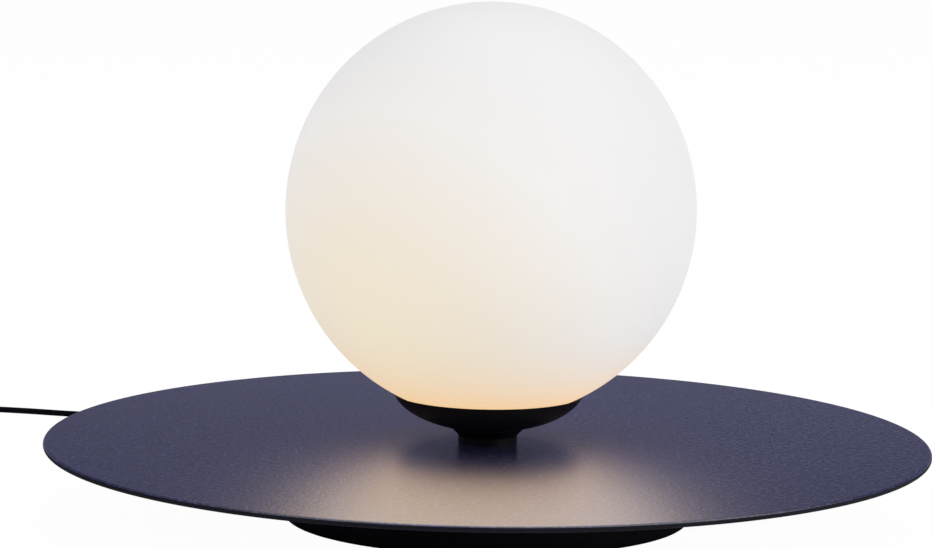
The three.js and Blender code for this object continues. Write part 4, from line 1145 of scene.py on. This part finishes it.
    def make_tie(self) -> Object:
        """Makes the rubber band round the coil.

        Returns:
            The band.
        """
        low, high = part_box("coil_tie")
        inset = Vector((self.tie_band, 0, self.tie_band))
        piece = Workpiece.block("coil_tie_band", low + inset, high - inset)
        piece.bevel(along(Axis.Y), self.tie_corner, segments=5)
        piece.open_up(lambda f: abs(f.normal.y) > FACING)
        piece.modify("SOLIDIFY", thickness=self.tie_band, offset=1.0)
        piece.break_edges(self.tie_broken)
        return piece.finish(BLACK_RUBBER, "coil_tie")


def grooved_taper(root: float, tip: float, start: float, end: float, grooves: int) -> Outline:
    """Lays out a tapered sleeve with grooves round it.

    Args:
        root: Its radius where it starts.
        tip: Its radius where it ends.
        start: Where it starts along its axis.
        end: Where it ends.
        grooves: How many grooves it has.

    Returns:
        Radius and place of each point.
    """
    points = []
    step = (end - start) / (2 * grooves + 1)
    for i in range(2 * grooves + 1):
        for place in (start + step * i, start + step * (i + 1)):
            radius = root + (tip - root) * (place - start) / (end - start)
            points.append((radius * (1 - GROOVE_DEPTH * (i % 2)), place))
    return points


@dataclass
class Gland:
    """The tapered gland in the base's wall, grooved so that it bends."""

    flange: float = 5.0 * MM
    flange_thickness: float = 1.5 * MM
    neck: float = 3.8 * MM
    straight: float = 6.0 * MM
    tip: float = 2.5 * MM
    bore: float = 1.75 * MM
    grooves: int = 5
    broken: float = 0.15 * MM

    def build(self) -> Object:
        """Turns the gland and seats it in the wall.

        Returns:
            The gland.
        """
        low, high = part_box("cord_gland")
        inside = low.y + self.flange_thickness
        taper_start = high_of("base_shell").y + self.straight
        outline = [
            (self.bore, low.y),
            (self.flange, low.y),
            (self.flange, inside),
            (self.neck, inside),
            (self.neck, taper_start),
            *grooved_taper(self.neck, self.tip, taper_start, high.y, self.grooves),
            (self.bore, high.y),
        ]
        piece = Workpiece.turned("cord_gland_moulded", outline, steps=48)
        piece.place((0, 0, (low.z + high.z) / 2), -QUARTER)
        piece.break_edges(self.broken)
        return piece.finish(BLACK_ABS, "cord_gland")


@dataclass
class StrainRelief:
    """A tapered, grooved sleeve that a cord runs through."""

    node: str
    facing: int
    root: float = 3.4 * MM
    tip: float = 2.4 * MM
    waist: float = 2.4 * MM
    flange: float = 3.6 * MM
    flange_thickness: float = 1.4 * MM
    wall: float = 2.3 * MM
    bore: float = 1.75 * MM
    grooves: int = 4
    broken: float = 0.12 * MM

    def build(self) -> Object:
        """Turns the sleeve and seats it in its housing's wall.

        Returns:
            The sleeve.
        """
        low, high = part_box(self.node)
        length = high.y - low.y
        behind = self.flange_thickness
        face = behind + self.wall + CLEARANCE
        straight = face + (length - face) / 4
        outline = [
            (self.bore, 0.0),
            (self.flange, 0.0),
            (self.flange, behind),
            (self.waist, behind),
            (self.waist, face),
            (self.root, face),
            (self.root, straight),
            *grooved_taper(self.root, self.tip, straight, length, self.grooves),
            (self.bore, length),
        ]
        piece = Workpiece.turned(self.node + "_sleeve", outline, steps=48)
        middle = middle_of(self.node)
        start = low.y if self.facing > 0 else high.y
        piece.place((middle.x, start, middle.z), -self.facing * QUARTER)
        piece.break_edges(self.broken)
        return piece.finish(CORD_PVC, self.node)


@dataclass
class PanScrew:
    """A screw with a domed, slotted head."""

    head: float
    head_height: float = 1.5 * MM
    shank: float = 1.2 * MM
    dome_share: float = 0.45

    def build(self, length: float) -> Workpiece:
        """Turns a screw that stands upright, with the top of its head at zero.

        Args:
            length: The length from end to end.

        Returns:
            The screw.
        """
        piece = Workpiece.cylinder("screw", self.shank, -length, -self.head_height, sides=24)
        grow = self.head / self.shank
        with piece.editing():
            piece.select(Element.FACE, lambda f: f.normal.z > FACING)
            bpy.ops.mesh.extrude_region_move(TRANSFORM_OT_translate={"value": (0, 0, 0)})
            bpy.ops.transform.resize(value=(grow, grow, 1), center_override=(0, 0, -self.head_height))
            bpy.ops.mesh.extrude_region_move(TRANSFORM_OT_translate={"value": (0, 0, self.head_height)})
        piece.bevel(ring_at(0, self.head), self.dome_share * self.head_height, segments=4)
        reach, half, deep = self.head + PAST, self.head / 8, self.head_height / 2
        return piece.cut(Workpiece.block("slot", (-reach, -half, -deep), (reach, half, PAST)))


# Dimmer


@dataclass
class Dimmer:
    """The in-line dimmer: a two-part case, its slider and its screws."""

    wall: float = 2.0 * MM
    corner: float = 8.0 * MM
    edge: float = 1.5 * MM
    broken: float = 0.2 * MM
    slot_width: float = 4.0 * MM
    slot_length: float = 26.6 * MM
    relief_hole: float = 2.7 * MM
    post: float = 2.4 * MM
    post_foot: float = 3.4 * MM
    post_foot_height: float = 1.0 * MM
    counterbore: float = 2.5 * MM
    screw_hole: float = 1.5 * MM
    screw_head: float = 2.2 * MM
    ledge: float = 2.0 * MM
    ledge_width: float = 1.5 * MM
    knob_height: float = 4.0 * MM
    knob_corner: float = 2.0 * MM
    knob_edge: float = 0.8 * MM
    knob_broken: float = 0.12 * MM
    groove: float = 0.8 * MM
    groove_pitch: float = 3.0 * MM
    groove_count: int = 3
    stem_width: float = 3.4 * MM
    stem_length: float = 8.0 * MM
    stem_foot_width: float = 6.6 * MM
    stem_foot_height: float = 1.2 * MM
    middle: Vector = field(init=False)
    parting: float = field(init=False)
    screws: dict[str, float] = field(init=False)

    def __post_init__(self) -> None:
        """Reads from the frame where the case's parting line and its screws are."""
        self.middle = middle_of("dimmer_base")
        self.parting = high_of("dimmer_base").z
        self.screws = {f"dimmer_screw_{i}": middle_of(f"dimmer_screw_{i}").y for i in (1, 2)}

    def build(self) -> list[Object]:
        """Makes the dimmer's pieces.

        Returns:
            The case's two halves, the inner sleeve and the screws.
        """
        pieces = [self.make_base(), self.make_cover(), StrainRelief("dimmer_relief_in", 1).build()]
        pieces += self.make_screws()
        self.make_slider()
        keep_node("dimmer_board", BOARD_LAMINATE)
        return pieces

    def mould(self, node: str, closed: float, floor: float, opening: float) -> Workpiece:
        """Moulds one half of the case: a rounded tray, with notches for the sleeves.

        Args:
            node: The CAD node that it stands for.
            closed: The height of its closed face.
            floor: The height of that face's inside.
            opening: A height past its open side.

        Returns:
            The tray.
        """
        low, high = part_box(node)
        piece = Workpiece.block(node + "_moulding", low, high)
        piece.bevel(along(Axis.Z), self.corner, segments=8)
        piece.bevel(square_to(Axis.Z, closed), self.edge, segments=4)
        near, far = low + Vector((self.wall, self.wall, 0)), high - Vector((self.wall, self.wall, 0))
        near.z, far.z = min(floor, opening), max(floor, opening)
        inside = Workpiece.block("inside", near, far)
        piece.cut(inside.bevel(along(Axis.Z), self.corner - self.wall, segments=8))
        for end in (low.y, high.y):
            reach = 2 * self.wall
            piece.bore(self.relief_hole, end - reach, end + reach, (self.middle.x, self.parting))
        return piece

    def make_base(self) -> Object:
        """Moulds the lower half, with a foot round each screw's counterbore and ledges for the board.

        Returns:
            The lower half.
        """
        low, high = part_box("dimmer_base")
        piece = self.mould("dimmer_base", low.z, low.z + self.wall, high.z + PAST)
        inside = self.wall / 2
        for y in self.screws.values():
            at = (self.middle.x, y)
            foot_top = self.wall + self.post_foot_height
            piece.join(Workpiece.cylinder("post_foot", self.post_foot, inside, foot_top, 32, at))
            piece.join(Workpiece.cylinder("post", self.post, inside, self.parting - CLEARANCE, 24, at))
            piece.drill(self.counterbore, -PAST, self.wall, 32, at)
            piece.drill(self.screw_hole, inside, self.parting, 24, at)
        board_low, board_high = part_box("dimmer_board")
        reach = (board_high.y - board_low.y) / 3
        for y in (self.middle.y - reach, self.middle.y + reach):
            near = (board_low.x, y - self.ledge_width / 2, inside)
            far = (board_high.x, y + self.ledge_width / 2, self.wall + self.ledge)
            piece.join(Workpiece.block("ledge", near, far))
        piece.break_edges(self.broken)
        return piece.finish(BLACK_ABS, "dimmer_base")

    def make_cover(self) -> Object:
        """Moulds the upper half, with its screw posts and the slider's slot.

        Returns:
            The upper half.
        """
        low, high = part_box("dimmer_cover")
        piece = self.mould("dimmer_cover", high.z, high.z - self.wall, low.z - PAST)
        for y in self.screws.values():
            at = (self.middle.x, y)
            piece.join(Workpiece.cylinder("post", self.post, low.z, high.z - self.wall / 2, 24, at))
            piece.drill(self.screw_hole, low.z - PAST, high.z - self.wall, 24, at)
        half = Vector((self.slot_width / 2, self.slot_length / 2, 0))
        near, far = self.middle - half, self.middle + half
        near.z, far.z = high.z - 2 * self.wall, high.z + PAST
        piece.cut(Workpiece.block("slot", near, far))
        piece.break_edges(self.broken)
        return piece.finish(BLACK_ABS, "dimmer_cover")

    def make_slider(self) -> None:
        """Makes the ribbed knob, and the stem and foot that hold it in its slot."""
        low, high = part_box("dimmer_slider")
        bottom = high.z - self.knob_height
        y = (low.y + high.y) / 2
        knob = Workpiece.block("dimmer_slider_knob", (low.x, low.y, bottom), high)
        knob.bevel(along(Axis.Z), self.knob_corner, segments=4)
        knob.bevel(square_to(Axis.Z, high.z), self.knob_edge, segments=3)
        for i in range(self.groove_count):
            start = y + (i - (self.groove_count - 1) / 2) * self.groove_pitch - self.groove / 2
            near = (low.x - PAST, start, high.z - self.groove)
            knob.cut(Workpiece.block("groove", near, (high.x + PAST, start + self.groove, high.z + PAST)))
        foot_top = low.z + self.stem_foot_height
        parts = {
            "stem": (self.stem_width, foot_top - self.stem_foot_height / 2, bottom + self.knob_edge),
            "foot": (self.stem_foot_width, low.z, foot_top),
        }
        for name, (width, under, top) in parts.items():
            near = (self.middle.x - width / 2, y - self.stem_length / 2, under)
            knob.join(Workpiece.block(name, near, (near[0] + width, near[1] + self.stem_length, top)))
        knob.break_edges(self.knob_broken)
        knob.finish(BLACK_ABS, "dimmer_slider", Body.SLIDER)

    def make_screws(self) -> list[Object]:
        """Makes the two screws, with their heads down in the case's floor.

        Returns:
            The screws.
        """
        low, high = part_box("dimmer_screw_1")
        screw = PanScrew(self.screw_head).build(high.z - low.z).place((self.middle.x, 0, low.z), math.pi)
        copies = screw.spread({node + "_slotted": (0, y, 0) for node, y in self.screws.items()})
        return [copy.finish(ZINC_PLATE, node) for copy, node in zip(copies, self.screws)]


# Adapter


@dataclass
class Adapter:
    """The plug-in adapter: a shell and a cap that meet in a fine parting line, and two pins."""

    corner: float = 6.0 * MM
    edge: float = 1.5 * MM
    parting: float = 0.3 * MM
    relief_hole: float = 2.7 * MM
    relief_wall: float = 3.0 * MM
    pocket: float = 3.9 * MM
    pocket_start: float = 2.0 * MM
    pocket_end: float = 4.0 * MM
    pin_radius: float = 2.0 * MM
    pins: dict[str, Vector] = field(init=False)

    def __post_init__(self) -> None:
        """Reads from the frame where the pins stand."""
        self.pins = {f"adapter_pin_{i}": middle_of(f"adapter_pin_{i}") for i in (1, 2)}

    def build(self) -> list[Object]:
        """Makes the adapter's pieces.

        Returns:
            The pieces.
        """
        made = [self.make_shell(), self.make_cap(), StrainRelief("adapter_relief", 1).build()]
        return made + self.make_pins()

    def mould(self, node: str, closed: float, parting: float) -> Workpiece:
        """Moulds one part of the housing.

        Args:
            node: The CAD node that it stands for.
            closed: Where its closed face lies along Y.
            parting: Where it meets the other part.

        Returns:
            The part, still without its holes.
        """
        piece = Workpiece.block(node + "_moulding", *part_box(node))
        piece.bevel(along(Axis.Y), self.corner, segments=8)
        piece.bevel(square_to(Axis.Y, closed), self.edge, segments=4)
        return piece.bevel(square_to(Axis.Y, parting), self.parting, segments=1)

    def make_shell(self) -> Object:
        """Moulds the shell, with a hole for the sleeve and a pocket for its flange.

        Returns:
            The shell.
        """
        low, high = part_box("adapter_shell")
        piece = self.mould("adapter_shell", high.y, low.y)
        middle = (low + high) / 2
        at = (middle.x, middle.z)
        piece.bore(self.relief_hole, high.y - self.relief_wall, high.y + PAST, at)
        piece.bore(self.pocket, high.y - self.pocket_end, high.y - self.pocket_start, at)
        return piece.finish(BLACK_ABS, "adapter_shell")

    def make_cap(self) -> Object:
        """Moulds the cap, with a blind hole for each pin.

        Returns:
            The cap.
        """
        low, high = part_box("adapter_cap")
        piece = self.mould("adapter_cap", low.y, high.y)
        for node, pin in self.pins.items():
            deep = high_of(node).y + CLEARANCE
            piece.bore(self.pin_radius + CLEARANCE, low.y - PAST, deep, (pin.x, pin.z))
        return piece.finish(BLACK_ABS, "adapter_cap")

    def make_pins(self) -> list[Object]:
        """Turns a pin with a rounded tip, twice.

        Returns:
            The pins.
        """
        low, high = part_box("adapter_pin_1")
        length, radius = high.y - low.y, self.pin_radius
        tip = arc((0.0, length - radius), radius, 0, 1, 6)
        pin = Workpiece.turned("pin", [(0.0, 0.0), (radius, 0.0), *tip[:-1], (0.0, length)], steps=32)
        pin.place((0, high.y, 0), QUARTER)
        places = {node + "_turned": (middle.x, 0, middle.z) for node, middle in self.pins.items()}
        return [copy.finish(NICKEL_PLATE, node) for copy, node in zip(pin.spread(places), self.pins)]


# Head


@dataclass
class Globe:
    """The blown globe and the gasket that its collar stands on."""

    radius: float = 100.0 * MM
    collar_radius: float = 36.0 * MM
    glass: float = 3.0 * MM
    shoulder_round: float = 2.5 * MM
    lip_round: float = 0.8 * MM
    half_height: float = 101.4 * MM
    gasket_overhang: float = 0.4 * MM
    gasket_heel: float = 1.0 * MM
    gasket_broken: float = 0.2 * MM

    def build(self) -> None:
        """Blows the globe and lays the gasket."""
        mouth, crown = low_of("globe").z, high_of("globe").z
        centre = crown - self.half_height
        shoulder = centre - self.half_height * math.sqrt(1 - (self.collar_radius / self.radius) ** 2)
        activate()
        bpy.ops.mesh.primitive_uv_sphere_add(
            segments=144, ring_count=96, radius=self.radius, location=(0, 0, centre)
        )
        piece = Workpiece("globe_glass")
        stretch = (1, 1, self.half_height / self.radius)
        with piece.editing():
            bpy.ops.mesh.select_all(action="SELECT")
            bpy.ops.transform.resize(value=stretch, center_override=(0, 0, centre))
            bpy.ops.mesh.select_all(action="SELECT")
            bpy.ops.mesh.bisect(plane_co=(0, 0, shoulder), plane_no=(0, 0, 1), clear_inner=True)
            piece.select(Element.EDGE, lambda e: e.is_boundary)
            bpy.ops.mesh.extrude_region_move(TRANSFORM_OT_translate={"value": (0, 0, mouth - shoulder)})
        piece.bevel(ring_at(shoulder, self.collar_radius), self.shoulder_round, segments=5)
        piece.modify("SOLIDIFY", thickness=self.glass, offset=-1.0)
        piece.bevel(square_to(Axis.Z, mouth), self.lip_round, segments=3)
        self.make_gasket()
        piece.finish(OPAL_GLASS, "globe", Body.GLOBE)

    def make_gasket(self) -> None:
        """Lays the ring of silicone in the cup."""
        low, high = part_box("globe_gasket")
        inner = self.collar_radius - self.glass - self.gasket_overhang
        heel = high.z - self.gasket_heel
        outline = [(inner, low.z), (high.x, heel), (high.x, high.z), (inner, high.z)]
        piece = Workpiece.turned("gasket_ring", outline, steps=96)
        piece.break_edges(self.gasket_broken).finish(SILICONE, "globe_gasket")


@dataclass
class Cup:
    """The spun cup and the turned neck under it."""

    radius: float = 47.1 * MM
    depth: float = 21.7 * MM
    wall: float = 1.0 * MM
    rim_land: float = 0.3 * MM
    rim_bevel: float = 0.7 * MM
    hole: float = 5.3 * MM
    neck_radius: float = 14.4 * MM
    neck_round: float = 0.5 * MM
    flare: float = 4.0 * MM
    land: float = 0.2 * MM
    steps: int = 24

    def build(self) -> None:
        """Spins the cup and turns the neck."""
        self.make_cup()
        self.make_neck()

    def bowl(self, centre: float, low: float, high: float, wall: float) -> Outline:
        """Lays out the cup's elliptic side.

        Args:
            centre: The height of the ellipse's middle.
            low: The height of the first point.
            high: The height of the last point.
            wall: How far the side lies inside the outer face.

        Returns:
            Radius and height of each point.
        """
        depth = self.depth - wall
        first = math.acos((centre - low) / depth)
        last = math.acos((centre - high) / depth)
        angles = [first + (last - first) * i / self.steps for i in range(self.steps + 1)]
        return [((self.radius - wall) * math.sin(a), centre - depth * math.cos(a)) for a in angles]

    def make_cup(self) -> None:
        """Spins the cup from its section."""
        seat, rim = low_of("cup").z, high_of("cup").z
        seat_radius = self.neck_radius + self.flare
        centre = seat + self.depth * math.sqrt(1 - (seat_radius / self.radius) ** 2)
        outside = self.bowl(centre, seat, rim, 0.0)
        inside = self.bowl(centre, seat + self.wall, rim - self.rim_bevel, self.wall)
        outline = [
            (self.hole, seat),
            *outside,
            (outside[-1][0] - self.rim_land, rim),
            *reversed(inside),
            (self.hole, seat + self.wall),
        ]
        Workpiece.turned("cup_spun", outline, steps=128).finish(BLACK_ENAMEL, "cup")

    def make_neck(self) -> None:
        """Turns the neck from a plain bar and spreads its top."""
        low, high = low_of("neck").z, high_of("neck").z
        waist_top = high - self.land - self.flare
        grow = (self.neck_radius + self.flare) / self.neck_radius
        piece = Workpiece.cylinder("neck_turned", self.neck_radius, low, waist_top, sides=128)
        with piece.editing():
            piece.select(Element.FACE, lambda f: f.normal.z > FACING)
            bpy.ops.mesh.extrude_region_move(TRANSFORM_OT_translate={"value": (0, 0, self.flare)})
            bpy.ops.transform.resize(value=(grow, grow, 1), center_override=(0, 0, waist_top))
            bpy.ops.mesh.extrude_region_move(TRANSFORM_OT_translate={"value": (0, 0, self.land)})
        piece.bevel(ring_at(waist_top, self.neck_radius), self.neck_round, segments=3)
        piece.drill(self.hole, low - PAST, high + PAST, 64)
        piece.finish(BLACK_ENAMEL, "neck")


@dataclass
class Holder:
    """What stands in the cup: clamping parts, bracket, springs and lampholder."""

    body_radius: float = 8.5 * MM
    body_round: float = 1.0 * MM
    body_lift: float = 0.5 * MM  # how far the body's underside lies above the lugs'
    lug_height: float = 3.0 * MM
    lug_width: float = 9.0 * MM
    lug_corner: float = 2.7 * MM
    lug_broken: float = 0.2 * MM
    well: float = 3.2 * MM
    pin_spacing: float = 4.0 * MM
    pin_hole: float = 0.8 * MM
    pin_hole_depth: float = 8.0 * MM
    screw_hole: float = 1.5 * MM
    screw_head: float = 2.4 * MM
    spring_edge: float = 0.06 * MM
    plated: tuple[str, ...] = (
        "stem_tube",
        "stem_washer_top",
        "stem_nut_top",
        "stem_washer_bottom",
        "stem_nut_bottom",
        "holder_bracket",
        "spring_rivet_1",
        "spring_rivet_2",
        "spring_rivet_3",
    )

    def build(self) -> None:
        """Makes every piece in the cup."""
        for node in self.plated:
            refine(node, ZINC_PLATE)
        for i in (1, 2, 3):
            refine(f"globe_spring_{i}", SPRING_STEEL, self.spring_edge)
        screws = {f"holder_screw_{i}": middle_of(f"holder_screw_{i}").x for i in (1, 2)}
        self.make_lampholder(screws)
        self.make_screws(screws)

    def make_lampholder(self, screws: dict[str, float]) -> None:
        """Presses the ceramic lampholder, with its two pin holes and its screw lugs.

        Args:
            screws: Where each screw stands.
        """
        low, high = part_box("lampholder")
        lug_top = low.z + self.lug_height
        half = self.lug_width / 2
        start = low.z + self.body_lift
        piece = Workpiece.cylinder("lampholder_ceramic", self.body_radius, start, high.z)
        piece.bevel(ring_at(high.z, self.body_radius), self.body_round, segments=4)
        lugs = Workpiece.block("lugs", (low.x, -half, low.z), (high.x, half, lug_top))
        lugs.bevel(along(Axis.Z), self.lug_corner, segments=6)
        piece.join(lugs.break_edges(self.lug_broken))
        piece.drill(self.well, low.z - PAST, lug_top, 32)
        for side in (-1, 1):
            at = (side * self.pin_spacing / 2, 0)
            piece.drill(self.pin_hole, high.z - self.pin_hole_depth, high.z + PAST, 24, at)
        for x in screws.values():
            piece.drill(self.screw_hole, low.z - PAST, lug_top + PAST, 24, (x, 0))
        piece.finish(STEATITE, "lampholder")

    def make_screws(self, screws: dict[str, float]) -> None:
        """Drives the two screws through the lugs.

        Args:
            screws: Where each screw stands.
        """
        low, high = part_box("holder_screw_1")
        screw = PanScrew(self.screw_head).build(high.z - low.z)
        copies = screw.spread({node + "_slotted": (x, 0, high.z) for node, x in screws.items()})
        for copy, node in zip(copies, screws):
            copy.finish(ZINC_PLATE, node)


@dataclass
class LightSource:
    """The two-pin capsule: a pressed ceramic foot and a frosted envelope."""

    foot_radius: float = 7.0 * MM
    foot_round: float = 0.8 * MM
    pin_radius: float = 0.5 * MM
    pin_length: float = 7.0 * MM
    pin_spacing: float = 4.0 * MM
    radius: float = 8.0 * MM

    def build(self) -> None:
        """Makes the foot with its pins, and the envelope."""
        low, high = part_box("bulb_base")
        under = low.z + self.pin_length
        foot = Workpiece.cylinder("bulb_foot", self.foot_radius, under, high.z, sides=48)
        foot.bevel(square_to(Axis.Z, under), self.foot_round, segments=3)
        for side in (-1, 1):
            at = (side * self.pin_spacing / 2, 0)
            foot.join(Workpiece.cylinder("pin", self.pin_radius, low.z, under + PAST, 16, at))
        foot.finish(STEATITE, "bulb_base", Body.BULB)
        bottom, top = low_of("bulb_envelope").z, high_of("bulb_envelope").z
        dome = arc((0.0, top - self.radius), self.radius, 0, 1, 12)
        outline = [(0.0, bottom), (self.radius, bottom), *dome[:-1], (0.0, top)]
        envelope = Workpiece.turned("bulb_capsule", outline, steps=64)
        envelope.finish(FROSTED_GLASS, "bulb_envelope", Body.BULB)


# Disc and base


@dataclass
class Disc:
    """The wide flat disc."""

    edge: float = 1.45 * MM
    edge_steps: int = 9
    hole: float = 5.3 * MM
    sides: int = 256
    steep: float = 0.55  # the upward part of a face's normal under which the edge's painted shade starts

    def build(self) -> Object:
        """Cuts the disc, rounds its edge and opens its hole.

        Returns:
            The disc.
        """
        low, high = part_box("disc")
        piece = Workpiece.cylinder("disc_coated", high.x, low.z, high.z, sides=self.sides)
        top, bottom = square_to(Axis.Z, high.z), square_to(Axis.Z, low.z)
        piece.bevel(lambda e: top(e) or bottom(e), self.edge, segments=self.edge_steps)
        with piece.editing():
            piece.select(Element.FACE, lambda f: abs(f.normal.z) > FACING and len(f.verts) > 4)
            bpy.ops.mesh.inset(thickness=high.x - self.edge - self.hole, use_individual=True)
            bpy.ops.mesh.bridge_edge_loops()
        disc = piece.finish(DISC_COAT, "disc")
        # painted shade: the edge's steep faces get a darker, duller finish
        self.paint_edge_shade(disc, high.x - self.edge)
        return disc

    def paint_edge_shade(self, disc: Object, start: float) -> None:
        """Gives the steep faces of the edge a darker, duller finish: painted shade.

        Args:
            disc: The finished disc.
            start: The radius where the edge starts.
        """
        disc.data.materials.append(EDGE_SHADE_COAT.material())
        for face in disc.data.polygons:
            if face.center.xy.length > start and -FACING < face.normal.z < self.steep:
                face.material_index = 1


@dataclass
class Base:
    """The base: a drawn shell, its bottom plate with foot ring and screws, and what is shut inside."""

    wall: float = 2.0 * MM
    top_round: float = 4.0 * MM
    low_round: float = 1.5 * MM
    stem_hole: float = 5.3 * MM
    gland_hole: float = 4.1 * MM
    pillar: float = 5.0 * MM
    thread_depth: float = 11.0 * MM
    screw_hole: float = 2.3 * MM
    screw_head: float = 3.8 * MM
    screw_radius: float = 2.0 * MM
    screw_slot: Point = (10.0 * MM, 1.0 * MM, 0.8 * MM)  # length, width and depth
    clamp_hole: float = 1.6 * MM
    plate_broken: float = 0.3 * MM
    foot_width: float = 10.0 * MM
    foot_round: float = 0.6 * MM
    cast_edge: float = 0.6 * MM
    block_edge: float = 0.3 * MM
    sides: int = 160
    screws: dict[str, Vector] = field(init=False)

    def __post_init__(self) -> None:
        """Reads from the frame where the base's screws stand."""
        self.screws = {f"base_screw_{i}": middle_of(f"base_screw_{i}") for i in (1, 2, 3)}

    def build(self) -> None:
        """Makes the base and what is in it."""
        self.make_shell()
        self.make_plate()
        self.make_foot()
        self.make_screws()
        refine("ballast_ring", CAST_IRON, self.cast_edge)
        refine("terminal_block", WHITE_NYLON, self.block_edge)
        refine("cord_clamp", GALVANISED)
        refine("clamp_screw_1", ZINC_PLATE)
        refine("clamp_screw_2", ZINC_PLATE)
        keep_node("lead_positive", RED_PVC)
        keep_node("lead_negative", CORD_PVC)
        keep_node("cord_inner", CORD_PVC)

    def make_shell(self) -> None:
        """Draws the shell, with its pillars and its hole for the gland."""
        low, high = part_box("base_shell")
        radius = high.x
        piece = Workpiece.cylinder("base_drawn_shell", radius, low.z, high.z, self.sides)
        piece.bevel(square_to(Axis.Z, high.z), self.top_round, segments=8)
        piece.open_up(lambda f: f.normal.z < -FACING)
        piece.modify("SOLIDIFY", thickness=self.wall, offset=-1.0)
        piece.bevel(ring_at(low.z, radius), self.low_round, segments=4)
        start, end = high_of("ballast_ring").z + CLEARANCE, high.z - self.wall / 2
        for middle in self.screws.values():
            pillar = Workpiece.cylinder("pillar", self.pillar, start, end, 32, middle.xy)
            pillar.drill(self.screw_hole, start - PAST, start + self.thread_depth, 24, middle.xy)
            piece.join(pillar)
        reach = 4 * self.wall
        gland = (0, middle_of("cord_gland").z)
        piece.bore(self.gland_hole, radius - reach, radius + reach, gland, sides=48)
        piece.drill(self.stem_hole, high.z - 2 * self.wall, high.z + PAST, 64)
        piece.finish(BLACK_ENAMEL, "base_shell")

    def make_plate(self) -> None:
        """Blanks the bottom plate and countersinks its holes."""
        low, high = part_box("base_plate")
        piece = Workpiece.cylinder("base_bottom_plate", high.x, low.z, high.z, self.sides)
        wide = self.screw_head + CLEARANCE
        outline = [
            (0.0, low.z - PAST),
            (wide, low.z - PAST),
            (wide, low.z),
            (self.screw_hole, high.z),
            (self.screw_hole, high.z + PAST),
            (0.0, high.z + PAST),
        ]
        sink = Workpiece.turned("countersink", outline, steps=32)
        places = {f"countersink_for_{node}": (at.x, at.y, 0) for node, at in self.screws.items()}
        piece.cut(*sink.spread(places))
        for i in (1, 2):
            at = middle_of(f"clamp_screw_{i}").xy
            piece.drill(self.clamp_hole, low.z - PAST, high.z + PAST, 24, at)
        piece.break_edges(self.plate_broken).finish(GALVANISED, "base_plate")

    def make_foot(self) -> None:
        """Moulds the rubber foot ring."""
        low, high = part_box("foot_ring")
        inner, outer = high.x - self.foot_width, high.x
        outline = [(inner, low.z), (outer, low.z), (outer, high.z), (inner, high.z)]
        piece = Workpiece.turned("foot_ring_moulded", outline, self.sides)
        for radius in (outer, inner):
            piece.bevel(ring_at(low.z, radius), self.foot_round, segments=3)
        piece.finish(BLACK_RUBBER, "foot_ring")

    def make_screws(self) -> None:
        """Drives the three countersunk screws in from below."""
        low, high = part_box("base_screw_1")
        outline = [
            (0.0, low.z),
            (self.screw_head, low.z),
            (self.screw_radius, high_of("base_plate").z),
            (self.screw_radius, high.z),
            (0.0, high.z),
        ]
        screw = Workpiece.turned("screw", outline, steps=32)
        length, width, depth = self.screw_slot
        near = (-length / 2, -width / 2, low.z - PAST)
        screw.cut(Workpiece.block("slot", near, (length / 2, width / 2, low.z + depth)))
        places = {node + "_slotted": (at.x, at.y, 0) for node, at in self.screws.items()}
        for copy, node in zip(screw.spread(places), self.screws):
            copy.finish(ZINC_PLATE, node)


def main() -> None:
    """Builds the studio, the cord set and the lamp."""
    logging.basicConfig(level=logging.INFO, format="%(name)s: %(message)s")
    studio = Studio()
    studio.build()
    CordSet().build(Dimmer().build(), Adapter().build())
    Base().build()
    disc = Disc().build()
    Cup().build()
    Holder().build()
    LightSource().build()
    Globe().build()
    studio.add_glow(disc)


if __name__ == "__main__":
    main()
